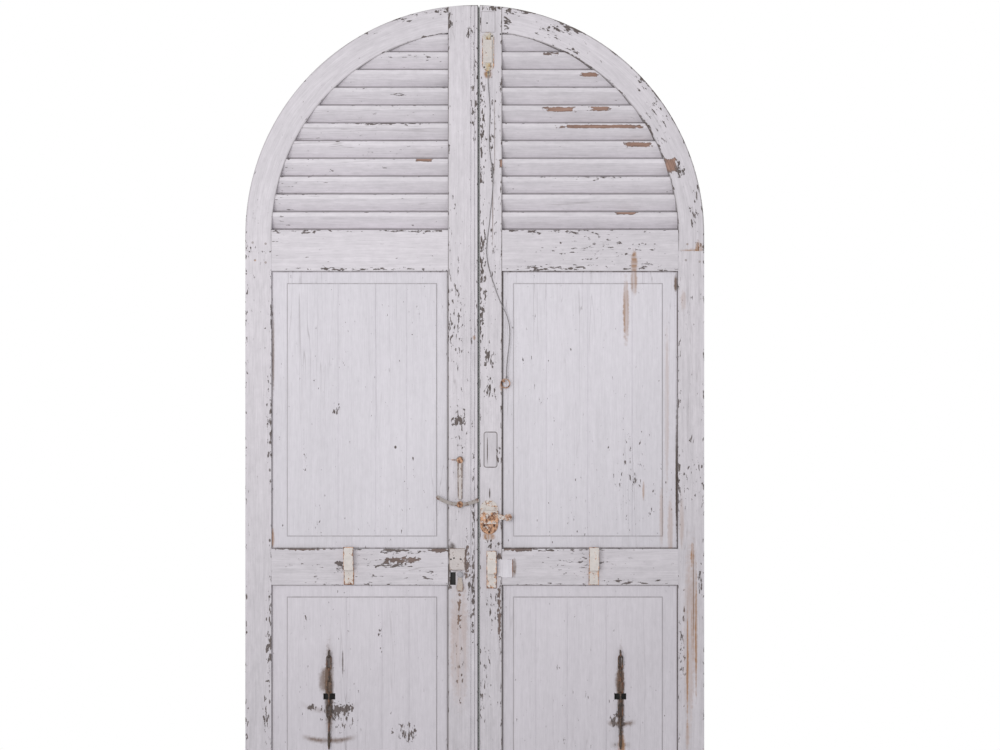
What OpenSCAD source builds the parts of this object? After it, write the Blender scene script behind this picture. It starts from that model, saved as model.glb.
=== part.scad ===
// A pair of arched wooden shutter leaves, louvred above and panelled below, closed, seen from inside.
// +X is to the right, +Y to the outside and +Z up. The origin is at the foot of the leaves, below the
// arch's centre and in the middle of the leaves' thickness.

/* [Leaves] */
// Half the width of the closed pair, and the radius of the arch
half_w = 600; // [540:5:720]
// Thickness of the stiles and rails
leaf_t = 32; // [28:1:40]
// Gap between the two leaves
leaf_gap = 5; // [4:0.5:7]
// Gap between them at the outside, where their bevelled edges come closest
back_gap = 0.8; // [0.6:0.1:0.9]
// Distance of that gap to the right of the arch's centre
gap_x = 11; // [0:1:20]
// Width of the outer stiles and of the arch heads
outer_stile_w = 68; // [62:1:80]
// Width of the left meeting stile
left_meeting_w = 78.5; // [74:0.5:90]
// Width of the right meeting stile
right_meeting_w = 58; // [54:0.5:70]
// Width of the bead on the left leaf's free edge
bead_w = 8; // [5:0.5:12]
// Width of the quirks beside the bead
quirk_w = 1.6; // [1:0.1:3]
// Depth of the quirks beside the bead
quirk_d = 2.5; // [1:0.1:5]

/* [Rails] */
// Height of the bottom rails
bottom_rail_h = 130; // [118:1:180]
// Height of the lower panels' openings
lower_panel_h = 727; // [600:1:900]
// Height of the lock rails
lock_rail_h = 94; // [90:1:120]
// Height of the upper panels' openings
upper_panel_h = 727; // [600:1:900]
// Height of the transom rails below the louvres
transom_rail_h = 107; // [90:1:130]
// Drop from the top of the transom rails to the arch's centre
spring_drop = 12; // [5:1:20]
// Straight leg of the arch heads below the arch's centre
arch_leg = 43; // [35:1:45]

/* [Joints in the wood] */
// Thickness of the tenons
tenon_t = 12; // [8:0.5:14]
// Length of the rails' tenons
tenon_l = 45; // [30:1:48]
// Length of the arch heads' tenons
arch_tenon_l = 30; // [20:1:38]
// Shoulder above and below each tenon
tenon_shoulder = 12; // [12:0.5:18]
// Clearance of tenons, tongues and slats in their seats
seat_clear = 0.2; // [0.1:0.05:0.4]
// Depth of the grooves that hold the panels
groove_d = 12; // [11:0.5:12]

/* [Panels] */
// Thickness of the panels' tongues
tongue_t = 10; // [8:0.5:12]
// Reach of the panels' tongues into the grooves
tongue_l = 10; // [8:0.5:10.5]
// Thickness of the panels' margins
margin_t = 14; // [13:0.5:16]
// Width of the panels' margins beside the outer stiles
margin_outer = 41; // [25:1:50]
// Width of the panels' margins beside the meeting stiles
margin_inner = 30; // [25:1:50]
// Height of the panels' margins above and below their fields
margin_end = 33; // [25:1:50]
// Thickness of the panels' raised fields
field_t = 18; // [17:0.5:22]
// Gap round the panels' margins
margin_gap = 0.5; // [0.3:0.1:1]
// Width of the fine grooves between the panels' boards
seam_w = 0.8; // [0.5:0.1:1.5]
// Depth of those grooves
seam_d = 1.2; // [0.5:0.1:2]
// Places of the seams in the left upper panel, from the outer stile
left_upper_seams = [174, 273, 354]; // [60:1:400]
// Places of the seams in the left lower panel, from the outer stile
left_lower_seams = [195, 289, 360]; // [60:1:400]
// Places of the seams in the right upper panel, from the outer stile
right_upper_seams = [120, 236, 345]; // [60:1:400]
// Places of the seams in the right lower panel, from the outer stile
right_lower_seams = [188, 290, 372]; // [60:1:400]
// Width of the slot in each lower panel
slot_w = 31; // [20:1:40]
// Height of the slot in each lower panel
slot_h = 16; // [10:1:20]
// Wood left behind the slot in each lower panel
slot_floor = 3; // [2:0.5:5]
// Distance of the slots and chains from the outer stiles
slot_inset = 151; // [140:1:200]
// Height of the slots above the bottom rails
slot_rise = 434; // [400:1:440]

/* [Louvre slats] */
// Height of the slats' front noses
slat_nose = 13.5; // [10:0.5:16]
// Rounding at the top of the slats' noses
slat_round = 3; // [1:0.5:5]
// Distance of the slats behind the front of the leaves
slat_front = 4; // [3:0.5:6]
// Distance of the slats from the back of the leaves
slat_back = 2; // [1.5:0.5:4]
// Overlap of each slat's foot behind the nose below it
slat_lap = 2; // [1:0.5:5]
// Room below the lowest slat
slat_foot = 0.5; // [0.3:0.1:4]
// Room above the top slat
slat_head = 0.4; // [0.4:0.2:12]
// Depth of the slats' housings
housing_d = 8; // [5:0.5:10]

/* [Hinges] */
// Width of the hinge straps
strap_w = 40; // [34:1:44]
// Thickness of the hinge straps
strap_t = 5; // [4:0.5:7]
// Length of the hinge straps from the pin to the tip
strap_l = 380; // [250:5:420]
// Radius of the pintles' pins
pintle_r = 7; // [6:0.1:8]
// Running clearance of the eyes round the pins
pintle_clear = 0.08; // [0.05:0.01:0.1]
// Wall of the straps' rolled eyes
eye_wall = 5.92; // [5:0.02:6.5]
// Distance of the pins from the leaves' outer edges
pintle_inset = 14; // [13.8:0.1:16]
// Reach of the pins above the eyes
pin_over = 6; // [3:1:12]
// Radius of the collars under the eyes
collar_r = 11; // [9:0.5:11.5]
// Height of the collars under the eyes
collar_h = 18; // [14:1:22]
// Thickness of the pintles' screw plates
jamb_plate_t = 5; // [4:0.5:6]
// Width of the pintles' screw plates
jamb_plate_w = 18; // [16:1:20]
// Height of the pintles' screw plates
jamb_plate_h = 64; // [60:1:66]
// Radius of the screw holes in those plates
jamb_hole_r = 2.75; // [2:0.25:3.5]
// Distance between the two screw holes of a plate
jamb_hole_gap = 30; // [24:1:32]
// Height of the lowest hinges above the foot
low_hinge_z = 90; // [88:1:98]

/* [Spring latch] */
// Width of the latch's plate
latch_w = 31; // [28:1:36]
// Height of the latch's plate
latch_h = 102; // [96:1:120]
// Distance of the latch from the right leaf's free edge
latch_inset = 21.5; // [18:0.5:24]
// Depth of the latch below the top of the arch
latch_drop = 122; // [110:1:140]
// Width of the latch's case
latch_case_w = 20; // [18:1:24]
// Height of the latch's case
latch_case_h = 60; // [50:1:66]
// Width of the latch's bolt
latch_bolt_w = 12; // [10:0.5:14]
// Thickness of the latch's bolt
latch_bolt_t = 5; // [4:0.5:6]
// Width of the latch bolt's tail
latch_tail_w = 8; // [6:0.5:9]
// Thickness of the iron plates
plate_t = 2.5; // [2:0.5:4]
// Thickness of the walls over the bolts
case_wall = 2; // [1.5:0.5:3]
// Clearance of the sliding bolts
slide_clear = 0.2; // [0.1:0.05:0.4]
// Radius of the screw holes in the iron plates
screw_r = 2.2; // [1.5:0.1:2.8]

/* [Pull ring] */
// Radius of the pull ring's centre line
ring_r = 11.5; // [9:0.5:14]
// Thickness of the pull ring's wire
ring_wire = 3; // [2:0.5:4]
// Radius of the nail that the ring hangs on
nail_r = 2; // [1.5:0.1:3]
// Distance of the nail from the right leaf's free edge
nail_inset = 62.5; // [62:0.5:66]
// Height of the nail above the lock rail
nail_rise = 439; // [400:1:480]
// Thickness of the pull cord
cord_d = 2.5; // [2:0.25:3.5]

/* [Rim bolt] */
// Width of the rim bolt's plate
rim_w = 47; // [44:1:50]
// Height of the rim bolt's plate
rim_h = 89; // [84:1:100]
// Distance of the plate from the right leaf's free edge
rim_inset = 0.5; // [0.3:0.1:3]
// Height of the rim bolt above the lock rail
rim_rise = 83; // [70:1:90]
// Height of the strap over the bolt
rim_strap_h = 34; // [28:1:38]
// Height of the sliding bolt
rim_bolt_h = 16; // [12:1:20]
// Thickness of the sliding bolt
rim_bolt_t = 7; // [5:0.5:8]
// Reach of the bolt's tail past the plate's middle
rim_tail = 50; // [46:1:56]
// Radius of the bolt's knob
rim_knob_r = 10; // [8:0.5:12]

/* [Hook, lever and drop pull] */
// Distance of the hook's stud from the left leaf's free edge
hook_inset = 47; // [44:1:52]
// Height of the hook's stud above the lock rail
hook_rise = 232; // [215:1:250]
// Length of the hook bar below its stud
hook_l = 97; // [80:1:104]
// Width of the hook bar
hook_w = 15; // [12:0.5:18]
// Thickness of the hook bar
hook_t = 4; // [3:0.5:4.5]
// Distance of the lever's stud below the hook's stud
lever_drop = 115; // [113:1:125]
// Radius of the lever's curve
lever_bend = 100; // [80:5:140]
// Reach of the lever's long arm
lever_long = 57; // [45:1:60]
// Reach of the lever's short arm
lever_short = 44; // [30:1:46]
// Width of the lever
lever_w = 9; // [7:0.5:11]
// Thickness of the lever
lever_t = 5; // [4:0.5:7]
// Length of the drop pull below its stud
pull_l = 44; // [36:1:48]
// Width of the drop pull
pull_w = 18; // [14:1:22]
// Thickness of the drop pull
pull_t = 5; // [4:0.5:6]
// Height of the drop pull's stud above the lower panels
pull_rise = 27.5; // [26:0.5:29]
// Radius of the studs' pins
stud_r = 4; // [3:0.1:5]
// Running clearance on the studs' pins
stud_clear = 0.06; // [0.03:0.01:0.1]
// End play between the studs' collars and heads
stud_play = 0.4; // [0.3:0.1:0.8]

/* [Lock plate] */
// Width of the lock plate
lock_w = 41.5; // [38:0.5:44]
// Height of the lock plate
lock_h = 57; // [50:1:60]
// Distance of the lock plate's middle from the left leaf's free edge
lock_inset = 54.7; // [52:0.1:56]
// Height of the lock plate's middle above the lower panels
lock_rise = 67; // [66:0.5:72]
// Width of the empty lock mortise
mortise_w = 14; // [10:1:18]
// Height of the empty lock mortise
mortise_h = 33; // [24:1:36]
// Depth of the empty lock mortise
mortise_d = 9; // [6:0.5:9.5]
// Distance of the mortise from the left leaf's free edge
mortise_inset = 65.5; // [62:0.5:66]

/* [Bar brackets] */
// Width of the brackets
bracket_w = 26; // [22:1:30]
// Thickness of the brackets' iron
bracket_t = 4; // [3:0.5:5]
// Height of the brackets' feet
bracket_foot = 44; // [36:1:48]
// Height of the brackets in all
bracket_h = 100; // [90:1:120]
// Room for the bar between the wood and the tongue
bracket_gap = 22; // [18:1:24]
// Distance of the left bracket from the left outer stile
left_bracket_inset = 203; // [180:1:260]
// Distance of the right bracket from the right outer stile
right_bracket_inset = 221; // [180:1:260]
// Distance of the bracket on the right meeting stile from the free edge
stile_bracket_inset = 30.5; // [28:0.5:34]

/* [Chains] */
// Thickness of the chain's wire
chain_wire = 3.5; // [2.5:0.25:4]
// Inner length of a link
link_l = 32; // [26:0.5:34]
// Inner width of a link
link_w = 7.5; // [6.5:0.25:8.5]
// Play between two links
link_play = 0.3; // [0.2:0.05:0.6]
// Thickness of the staples' wire
staple_wire = 4; // [3:0.25:5]
// Distance between the legs of a staple
staple_gap = 16; // [13:0.5:20]
// Height of the staples above the bottom rails
staple_rise = 546; // [520:1:560]
// Distance of the chains in front of the panels
chain_off = 10; // [9.5:0.5:12]
// Length of the pins at the chains' ends
chain_pin_l = 42; // [30:1:50]
// Radius of the pins at the chains' ends
chain_pin_r = 3.5; // [2.5:0.25:4.5]

/* [Hidden] */
$fn = 48;
ARCH_FN = 240;
LEFT = -1;
RIGHT = 1;
SLATS = 11;
LINKS = 6;
OVER = 1;

front = -leaf_t / 2;
back = leaf_t / 2;
arch_in = half_w - outer_stile_w;
edge_bevel = (leaf_gap - back_gap) / 2;
lock_z = bottom_rail_h + lower_panel_h;
upper_z = lock_z + lock_rail_h;
transom_z = upper_z + upper_panel_h;
louvre_z = transom_z + transom_rail_h;
spring_z = louvre_z - spring_drop;
leg_z = spring_z - arch_leg;
top_z = spring_z + half_w;

function edge_x(side) = gap_x + side * leaf_gap / 2;
function meeting_w(side) = side == LEFT ? left_meeting_w : right_meeting_w;
function inner_x(side) = edge_x(side) + side * meeting_w(side);
function outer_x(side) = side * arch_in;
function arch_z(r, x) = spring_z + sqrt(r * r - x * x);

// Louvre slats fill the height beside the narrower opening evenly.
widest_x = max(abs(inner_x(LEFT)), abs(inner_x(RIGHT)));
louvre_h = arch_z(arch_in, widest_x) - louvre_z;
slat_pitch = (louvre_h - slat_foot - slat_head - slat_lap) / SLATS;
slat_drop = slat_pitch - slat_nose + slat_lap;
slat_y0 = front + slat_front;
slat_y1 = back - slat_back;
slat_slope = slat_drop / (slat_y1 - slat_y0);

function slat_top(k) = louvre_z + slat_foot + slat_drop + slat_nose + (k - 1) * slat_pitch;
function slat_face(y) = -slat_slope * (y - slat_y0);
function slat_profile() = [
    [slat_y0, -slat_round],
    [slat_y0 + slat_round / 2, slat_face(slat_y0 + slat_round / 2)],
    [slat_y1, slat_face(slat_y1)],
    [slat_y1, slat_face(slat_y1) - slat_nose],
    [slat_y0, -slat_nose]
];
function housing_profile(c) = [
    [slat_y0 - c, slat_face(slat_y0 - c) + c],
    [slat_y1 + c, slat_face(slat_y1 + c) + c],
    [slat_y1 + c, slat_face(slat_y1 + c) - slat_nose - c],
    [slat_y0 - c, slat_face(slat_y0 - c) - slat_nose - c]
];

// Rails and panels as [lower z, upper z].
bottom_span = [0, bottom_rail_h];
lock_span = [lock_z, upper_z];
transom_span = [transom_z, louvre_z];
lower_span = [bottom_rail_h, lock_z];
upper_span = [upper_z, transom_z];

function inset(span, d) = [span[0] + d, span[1] - d];

// The transom rails' upper corners stop at the arch's curve.
transom_end = sqrt(arch_in * arch_in - spring_drop * spring_drop);
transom_outer_tenon = [leg_z + tenon_shoulder, louvre_z - tenon_shoulder];
leg_tenon_w = outer_stile_w - 2 * tenon_shoulder;

function arch_tenon(side) = inset(
    [arch_z(arch_in, inner_x(side)), arch_z(half_w, inner_x(side))], tenon_shoulder + 4);

// Hinges, from the bottom up.
eye_r = pintle_r + pintle_clear + eye_wall;
pintle_x = half_w - pintle_inset;
pintle_y = back + eye_r;
eye_play = 0.3;
hinge_zs = [low_hinge_z, (lock_z + upper_z) / 2, (transom_z + louvre_z) / 2];
jamb_hole_low = 10;

// Ironwork on the front faces.
latch_x = edge_x(RIGHT) + latch_inset;
latch_z = top_z - latch_drop;
latch_head = 3;
latch_tail = 12;
latch_slant = 10;
latch_reach = latch_h / 2;
tail_shoulder = 3;
cord_hole_r = 1.8;
cord_hole_up = 5;
rim_x = edge_x(RIGHT) + rim_inset + rim_w / 2;
rim_z = upper_z + rim_rise;
rim_stem = rim_bolt_h * 0.75;
hook_x = edge_x(LEFT) - hook_inset;
hook_z = upper_z + hook_rise;
hook_tip = hook_w * 0.8;
lever_z = hook_z - lever_drop;
pull_z = lock_z + pull_rise;
lock_x = edge_x(LEFT) - lock_inset;
lock_plate_z = lock_z + lock_rise;
lock_holes = [[-16, 0], [-8, 3], [10, 0]];
stud_depth = 9;
stud_shank_r = 2.5;
stud_foot = 2;
stud_head_r = 8;
stud_head_h = 4;
lever_foot = stud_foot + hook_t + 2;
nail_x = edge_x(RIGHT) + nail_inset;
nail_z = upper_z + nail_rise;
nail_depth = 6;
nail_out = 19;
nail_head_r = 3.6;
nail_head_t = 1.4;
ring_off = 12;
ring_lean = 32;
ring_play = 0.3;
ring_hang = ring_r - ring_wire / 2 - nail_r - ring_play;
left_bracket_x = outer_x(LEFT) + left_bracket_inset;
right_bracket_x = outer_x(RIGHT) - right_bracket_inset;
stile_bracket_x = edge_x(RIGHT) + stile_bracket_inset;
left_bracket_up = 1;
right_bracket_up = 0;
stile_bracket_up = -9;
bracket_hole_low = 9;
bracket_hole_gap = 18;

// Slots and chains on the lower panels.
slot_x = arch_in - slot_inset;
slot_z = bottom_rail_h + slot_rise;
staple_z = bottom_rail_h + staple_rise;
staple_depth = 8;
staple_leg = chain_off + chain_wire / 2 + 1;
link_mid = (link_w + chain_wire) / 2;
link_straight = link_l - link_w;
link_pitch = link_l - link_play;
first_link = staple_wire / 2 + link_play - link_l / 2;

// The pull cord's route, from the latch's tail down the stile to the ring.
cord_route = [
    [35, -25.3, 2196], [35, -25.3, 2184], [35, -25.3, 2171], [36, -23, 2154], [37.5, -19.6, 2138],
    [39, -18, 2120], [40, -17.8, 2095], [39, -17.8, 2060], [38, -17.8, 2020], [40, -17.8, 1985],
    [45, -17.8, 1950], [48, -17.8, 1915], [46, -17.8, 1880], [42, -17.8, 1840], [38, -17.8, 1800],
    [33, -17.8, 1760], [31, -17.8, 1725], [35, -17.8, 1695], [42, -17.8, 1668], [51, -17.8, 1640],
    [60, -17.8, 1614], [72, -18, 1586], [84, -18.4, 1560], [91, -18.8, 1530], [91, -19, 1496],
    [87, -19, 1462], [84, -19, 1430], [83, -19, 1410], [83, -19, 1396.6]
];
CORD_STEPS = 2;
CORD_SIDES = 8;

function slat_name(side, k) = str(side == LEFT ? "left" : "right", "_slat_", k < 10 ? "0" : "", k);

FRAME_NODES = [
    "outer_stile", "meeting_stile", "arch_head", "transom_rail", "lock_rail", "bottom_rail",
    "upper_panel", "lower_panel", "hinge_straps", "pintles", "chain_staple", "chain"
];

PAINT = "gainsboro";
SHADE = "lightgray";
RUST = "sienna";
IRON = "dimgray";
CREAM = "antiquewhite";
TWINE = "darkgray";

// A box between pairs of x, y and z values, in either order.
module block(x, y, z) {
    translate([min(x), min(y), min(z)])
        cube([max(x) - min(x), max(y) - min(y), max(z) - min(z)]);
}

// A disc about the arch's centre, thicker than the leaves.
module arch_disc(r) {
    translate([0, leaf_t, spring_z])
        rotate([90, 0, 0])
            cylinder(r = r, h = 2 * leaf_t, $fn = ARCH_FN);
}

// Children drawn in plan, x to the right and y up, with z standing out from a face at depth y.
module on_face(x, z, y = front) {
    translate([x, y, z])
        rotate([90, 0, 0])
            children();
}

// A profile of [up, out] points, drawn across in plan.
module across(w) {
    translate([-w / 2, 0, 0])
        rotate([90, 0, 90])
            linear_extrude(w)
                children();
}

// A hole from the front at a place on a leaf.
module front_hole(x, z, r, depth, y = front) {
    on_face(x, z, y)
        translate([0, 0, -depth])
            cylinder(r = r, h = depth + OVER);
}

// A tenon that stands out of the face at x in direction dir, or the mortise for it.
module tenon(x, dir, span, l) {
    block([x, x + dir * l], [-tenon_t / 2, tenon_t / 2], span);
}

module mortise(x, dir, span, l) {
    c = seat_clear;
    block([x - dir * OVER, x + dir * (l + c)], [-tenon_t / 2 - c, tenon_t / 2 + c], inset(span, -c));
}

// The groove in a stile beside one panel opening, cut from the face at x in direction dir.
module stile_groove(x, dir, span) {
    g = tongue_t / 2 + seat_clear;
    block([x - dir * OVER, x + dir * groove_d], [-g, g], inset(span, -groove_d));
}

// One slat's housing, as long as the louvre opening with its housings.
module slat_housing(side, k) {
    c = seat_clear;
    x = [outer_x(side) + side * (housing_d + c), inner_x(side) - side * (housing_d + c)];
    intersection() {
        translate([min(x), 0, slat_top(k)])
            rotate([90, 0, 90])
                linear_extrude(max(x) - min(x))
                    polygon(housing_profile(c));
        arch_disc(arch_in + housing_d + c);
    }
}

// Wooden pieces, each for one side.
module outer_stile(side) {
    x = outer_x(side);
    color(PAINT)
        difference() {
            block([side * half_w, x], [front, back], [0, leg_z]);
            mortise(x, side, inset(bottom_span, tenon_shoulder), tenon_l);
            mortise(x, side, inset(lock_span, tenon_shoulder), tenon_l);
            stile_groove(x, side, lower_span);
            stile_groove(x, side, upper_span);
            leg_tenon(side, seat_clear);
        }
}

// The tenon under the arch head's leg, grown by c for its mortise in the outer stile.
module leg_tenon(side, c = 0) {
    mid = side * (half_w - outer_stile_w / 2);
    half = leg_tenon_w / 2 + c;
    top = c > 0 ? leg_z + OVER : leg_z;
    depth = min(arch_tenon_l, leg_z - transom_z - groove_d - tenon_shoulder / 2);
    block([mid - half, mid + half], [-tenon_t / 2 - c, tenon_t / 2 + c], [leg_z - depth - c, top]);
}

module meeting_stile(side) {
    x = inner_x(side);
    color(PAINT)
        difference() {
            intersection() {
                linear_extrude(top_z + OVER)
                    polygon([
                        [edge_x(side), front], [x, front], [x, back], [edge_x(side) - side * edge_bevel, back]
                    ]);
                union() {
                    arch_disc(half_w);
                    block([-half_w, half_w], [front - OVER, back + OVER], [-OVER, spring_z]);
                }
            }
            for (span = [bottom_span, lock_span, transom_span])
                mortise(x, -side, inset(span, tenon_shoulder), tenon_l);
            mortise(x, -side, arch_tenon(side), arch_tenon_l);
            stile_groove(x, -side, lower_span);
            stile_groove(x, -side, upper_span);
            for (k = [1 : SLATS])
                slat_housing(side, k);
            if (side == LEFT)
                left_meeting_cuts();
        }
}

// The bead's quirks, the empty lock mortise and the studs' holes.
module left_meeting_cuts() {
    edge = edge_x(LEFT);
    for (d = [bead_w, 2 * bead_w + quirk_w])
        block([edge - d - quirk_w, edge - d], [front - OVER, front + quirk_d], [-OVER, top_z + OVER]);
    x = edge - mortise_inset;
    block([x - mortise_w / 2, x + mortise_w / 2], [front - OVER, front + mortise_d],
        [lock_z, lock_z + mortise_h]);
    for (z = [hook_z, lever_z, pull_z])
        front_hole(hook_x, z, stud_shank_r + seat_clear / 4, stud_depth + seat_clear);
}

module arch_head(side) {
    x = inner_x(side);
    color(PAINT)
        difference() {
            union() {
                intersection() {
                    difference() {
                        arch_disc(half_w);
                        arch_disc(arch_in);
                    }
                    block([x, side * (half_w + OVER)], [front, back], [spring_z, top_z + OVER]);
                }
                block([side * half_w, outer_x(side)], [front, back], [leg_z, spring_z]);
                leg_tenon(side);
                tenon(x, -side, arch_tenon(side), arch_tenon_l);
            }
            mortise(outer_x(side), side, transom_outer_tenon, tenon_l);
            for (k = [1 : SLATS])
                slat_housing(side, k);
        }
}

// A rail from the meeting stile to the x of its outer end, with its two tenons, less the panel grooves.
module rail(side, span, outer, outer_tenon, grooves) {
    g = tongue_t / 2 + seat_clear;
    inner = inner_x(side);
    difference() {
        union() {
            block([inner, outer], [front, back], span);
            tenon(inner, -side, inset(span, tenon_shoulder), tenon_l);
            tenon(outer, side, outer_tenon, tenon_l);
        }
        for (z = grooves)
            block([inner, outer], [-g, g], [z - groove_d, z + groove_d]);
    }
}

module transom_rail(side) {
    color(PAINT)
        rail(side, transom_span, side * transom_end, transom_outer_tenon, [transom_z]);
}

module lock_rail(side) {
    color(PAINT)
        rail(side, lock_span, outer_x(side), inset(lock_span, tenon_shoulder), [lock_z, upper_z]);
}

module bottom_rail(side) {
    color(PAINT)
        rail(side, bottom_span, outer_x(side), inset(bottom_span, tenon_shoulder), [bottom_rail_h]);
}

// A fielded panel of glued boards, its tongue in the grooves round it.
module panel(side, span, seams) {
    x = side == LEFT ? [outer_x(side), inner_x(side)] : [inner_x(side), outer_x(side)];
    field_x = [outer_x(side) - side * margin_outer, inner_x(side) + side * margin_inner];
    difference() {
        union() {
            block(inset(x, -tongue_l), [-tongue_t / 2, tongue_t / 2], inset(span, -tongue_l));
            block(inset(x, margin_gap), [-margin_t / 2, margin_t / 2], inset(span, margin_gap));
            block(field_x, [-field_t / 2, field_t / 2], inset(span, margin_end));
        }
        for (d = seams) {
            at = outer_x(side) - side * d;
            block([at - seam_w / 2, at + seam_w / 2], [-field_t / 2 - OVER, -field_t / 2 + seam_d],
                inset(span, margin_end - OVER));
        }
    }
}

module upper_panel(side) {
    color(SHADE)
        difference() {
            panel(side, upper_span, side == LEFT ? left_upper_seams : right_upper_seams);
            if (side == RIGHT)
                front_hole(nail_x, nail_z, nail_r + seat_clear / 4, nail_depth + seat_clear, -margin_t / 2);
        }
}

module lower_panel(side) {
    color(SHADE)
        difference() {
            panel(side, lower_span, side == LEFT ? left_lower_seams : right_lower_seams);
            block([side * slot_x - slot_w / 2, side * slot_x + slot_w / 2],
                [-leaf_t, field_t / 2 - slot_floor],
                [slot_z - slot_h / 2, slot_z + slot_h / 2]);
            for (up = [-1, 1])
                front_hole(side * slot_x, staple_z + up * staple_gap / 2, staple_wire / 2 + seat_clear / 4,
                    staple_depth + seat_clear, -field_t / 2);
        }
}

module louvre_slat(side, k) {
    x = [outer_x(side) + side * housing_d, inner_x(side) - side * housing_d];
    color(SHADE)
        intersection() {
            translate([min(x), 0, slat_top(k)])
                rotate([90, 0, 90])
                    linear_extrude(max(x) - min(x))
                        polygon(slat_profile());
            arch_disc(arch_in + housing_d);
        }
}

// Strap hinges on the back face, each with a rolled eye, and the pintles that they hang on.
module hinge_straps(side) {
    color(IRON)
        for (z = hinge_zs)
            difference() {
                union() {
                    block([side * pintle_x, side * (pintle_x - strap_l + strap_w / 2)],
                        [back, back + strap_t], [z - strap_w / 2, z + strap_w / 2]);
                    translate([side * (pintle_x - strap_l + strap_w / 2), back + strap_t, z])
                        rotate([90, 0, 0])
                            cylinder(r = strap_w / 2, h = strap_t);
                    translate([side * pintle_x, pintle_y, z - strap_w / 2])
                        cylinder(r = eye_r, h = strap_w);
                }
                translate([side * pintle_x, pintle_y, z - strap_w / 2 - OVER])
                    cylinder(r = pintle_r + pintle_clear, h = strap_w + 2 * OVER);
            }
}

module pintles(side) {
    color(IRON)
        for (z = hinge_zs)
            pintle(side, z - strap_w / 2 - eye_play);
}

// One pintle: pin and collar under an eye at height z, on a plate with two screw holes.
module pintle(side, z) {
    plate_y = pintle_y - jamb_plate_w / 2 - 2;
    plate_z = z - 2 - jamb_plate_h;
    difference() {
        union() {
            translate([side * pintle_x, pintle_y, z - collar_h])
                cylinder(r = collar_r, h = collar_h);
            translate([side * pintle_x, pintle_y, z - OVER])
                cylinder(r = pintle_r, h = eye_play + strap_w + pin_over + OVER);
            block([side * half_w, side * (half_w - jamb_plate_t)], [plate_y, plate_y + jamb_plate_w],
                [plate_z, plate_z + jamb_plate_h]);
        }
        for (up = [0, 1])
            translate([side * (half_w + OVER), plate_y + jamb_plate_w / 2,
                plate_z + jamb_hole_low + up * jamb_hole_gap])
                rotate([0, -side * 90, 0])
                    cylinder(r = jamb_hole_r, h = jamb_plate_t + 2 * OVER);
    }
}

// A plate with round ends, standing on a face.
module round_plate(w, h, t) {
    translate([-w / 2, -(h - w) / 2, 0])
        cube([w, h - w, t]);
    for (up = [-1, 1])
        translate([0, up * (h - w) / 2, 0])
            cylinder(r = w / 2, h = t);
}

module screw_holes(places) {
    for (p = places)
        translate([p[0], p[1], -OVER])
            cylinder(r = screw_r, h = plate_t + 2 * OVER);
}

module latch_plate() {
    channel_w = latch_bolt_w + 2 * slide_clear;
    channel_t = latch_bolt_t + 2 * slide_clear;
    screw_up = (latch_h - latch_w) / 2 + latch_w / 6;
    color(CREAM)
        on_face(latch_x, latch_z)
            difference() {
                union() {
                    round_plate(latch_w, latch_h, plate_t);
                    translate([-latch_case_w / 2, -latch_case_h / 2, 0])
                        cube([latch_case_w, latch_case_h, plate_t + channel_t + case_wall]);
                }
                translate([-channel_w / 2, -latch_h, plate_t])
                    cube([channel_w, 2 * latch_h, channel_t]);
                screw_holes([for (up = [-1, 1], s = [-1, 1]) [s * latch_w / 3, up * screw_up]]);
            }
}

// The latch's bolt, with a slanted head and a narrow tail that has the cord's hole.
module latch_bolt() {
    w = latch_bolt_w / 2;
    t = latch_tail_w / 2;
    head = latch_reach - latch_head;
    neck = -latch_case_h / 2 - latch_tail;
    foot = -latch_reach - latch_tail;
    color(RUST)
        on_face(latch_x, latch_z)
            translate([0, 0, plate_t + slide_clear])
                difference() {
                    linear_extrude(latch_bolt_t)
                        polygon([
                            [-t, foot], [t, foot], [t, neck - tail_shoulder], [w, neck], [w, head],
                            [-w, head - latch_slant], [-w, neck], [-t, neck - tail_shoulder]
                        ]);
                    translate([0, foot + cord_hole_up, -OVER])
                        cylinder(r = cord_hole_r, h = latch_bolt_t + 2 * OVER);
                }
}

// The cord's route made finer by a smooth curve through its points.
function curve_point(p, i, f) =
    let (
        n = len(p) - 1,
        a = p[max(i - 1, 0)],
        b = p[i],
        c = p[min(i + 1, n)],
        d = p[min(i + 2, n)]
    )
    b + f / 2 * ((c - a) + f * (2 * a - 5 * b + 4 * c - d + f * (3 * b - a - 3 * c + d)));

function fine_route(p, steps) = concat(
    [for (i = [0 : len(p) - 2], s = [0 : steps - 1]) curve_point(p, i, s / steps)],
    [p[len(p) - 1]]
);

// One ring of points round a route at index i.
function cord_ring(p, i, r) =
    let (
        along = p[min(i + 1, len(p) - 1)] - p[max(i - 1, 0)],
        u = cross(along, [0, 1, 0]) / norm(cross(along, [0, 1, 0])),
        v = cross(along, u) / norm(cross(along, u)),
        turn = 360 / CORD_SIDES
    )
    [for (s = [0 : CORD_SIDES - 1]) p[i] + r * (u * cos(s * turn) + v * sin(s * turn))];

module latch_cord() {
    path = fine_route(cord_route, CORD_STEPS);
    n = CORD_SIDES;
    last = len(path) - 1;
    color(TWINE)
        polyhedron(
            points = [for (i = [0 : last], q = cord_ring(path, i, cord_d / 2)) q],
            faces = concat(
                [[for (s = [0 : n - 1]) s]],
                [for (i = [0 : last - 1], s = [0 : n - 1])
                    [i * n + s, (i + 1) * n + s, (i + 1) * n + (s + 1) % n, i * n + (s + 1) % n]],
                [[for (s = [n - 1 : -1 : 0]) last * n + s]]
            )
        );
}

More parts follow.
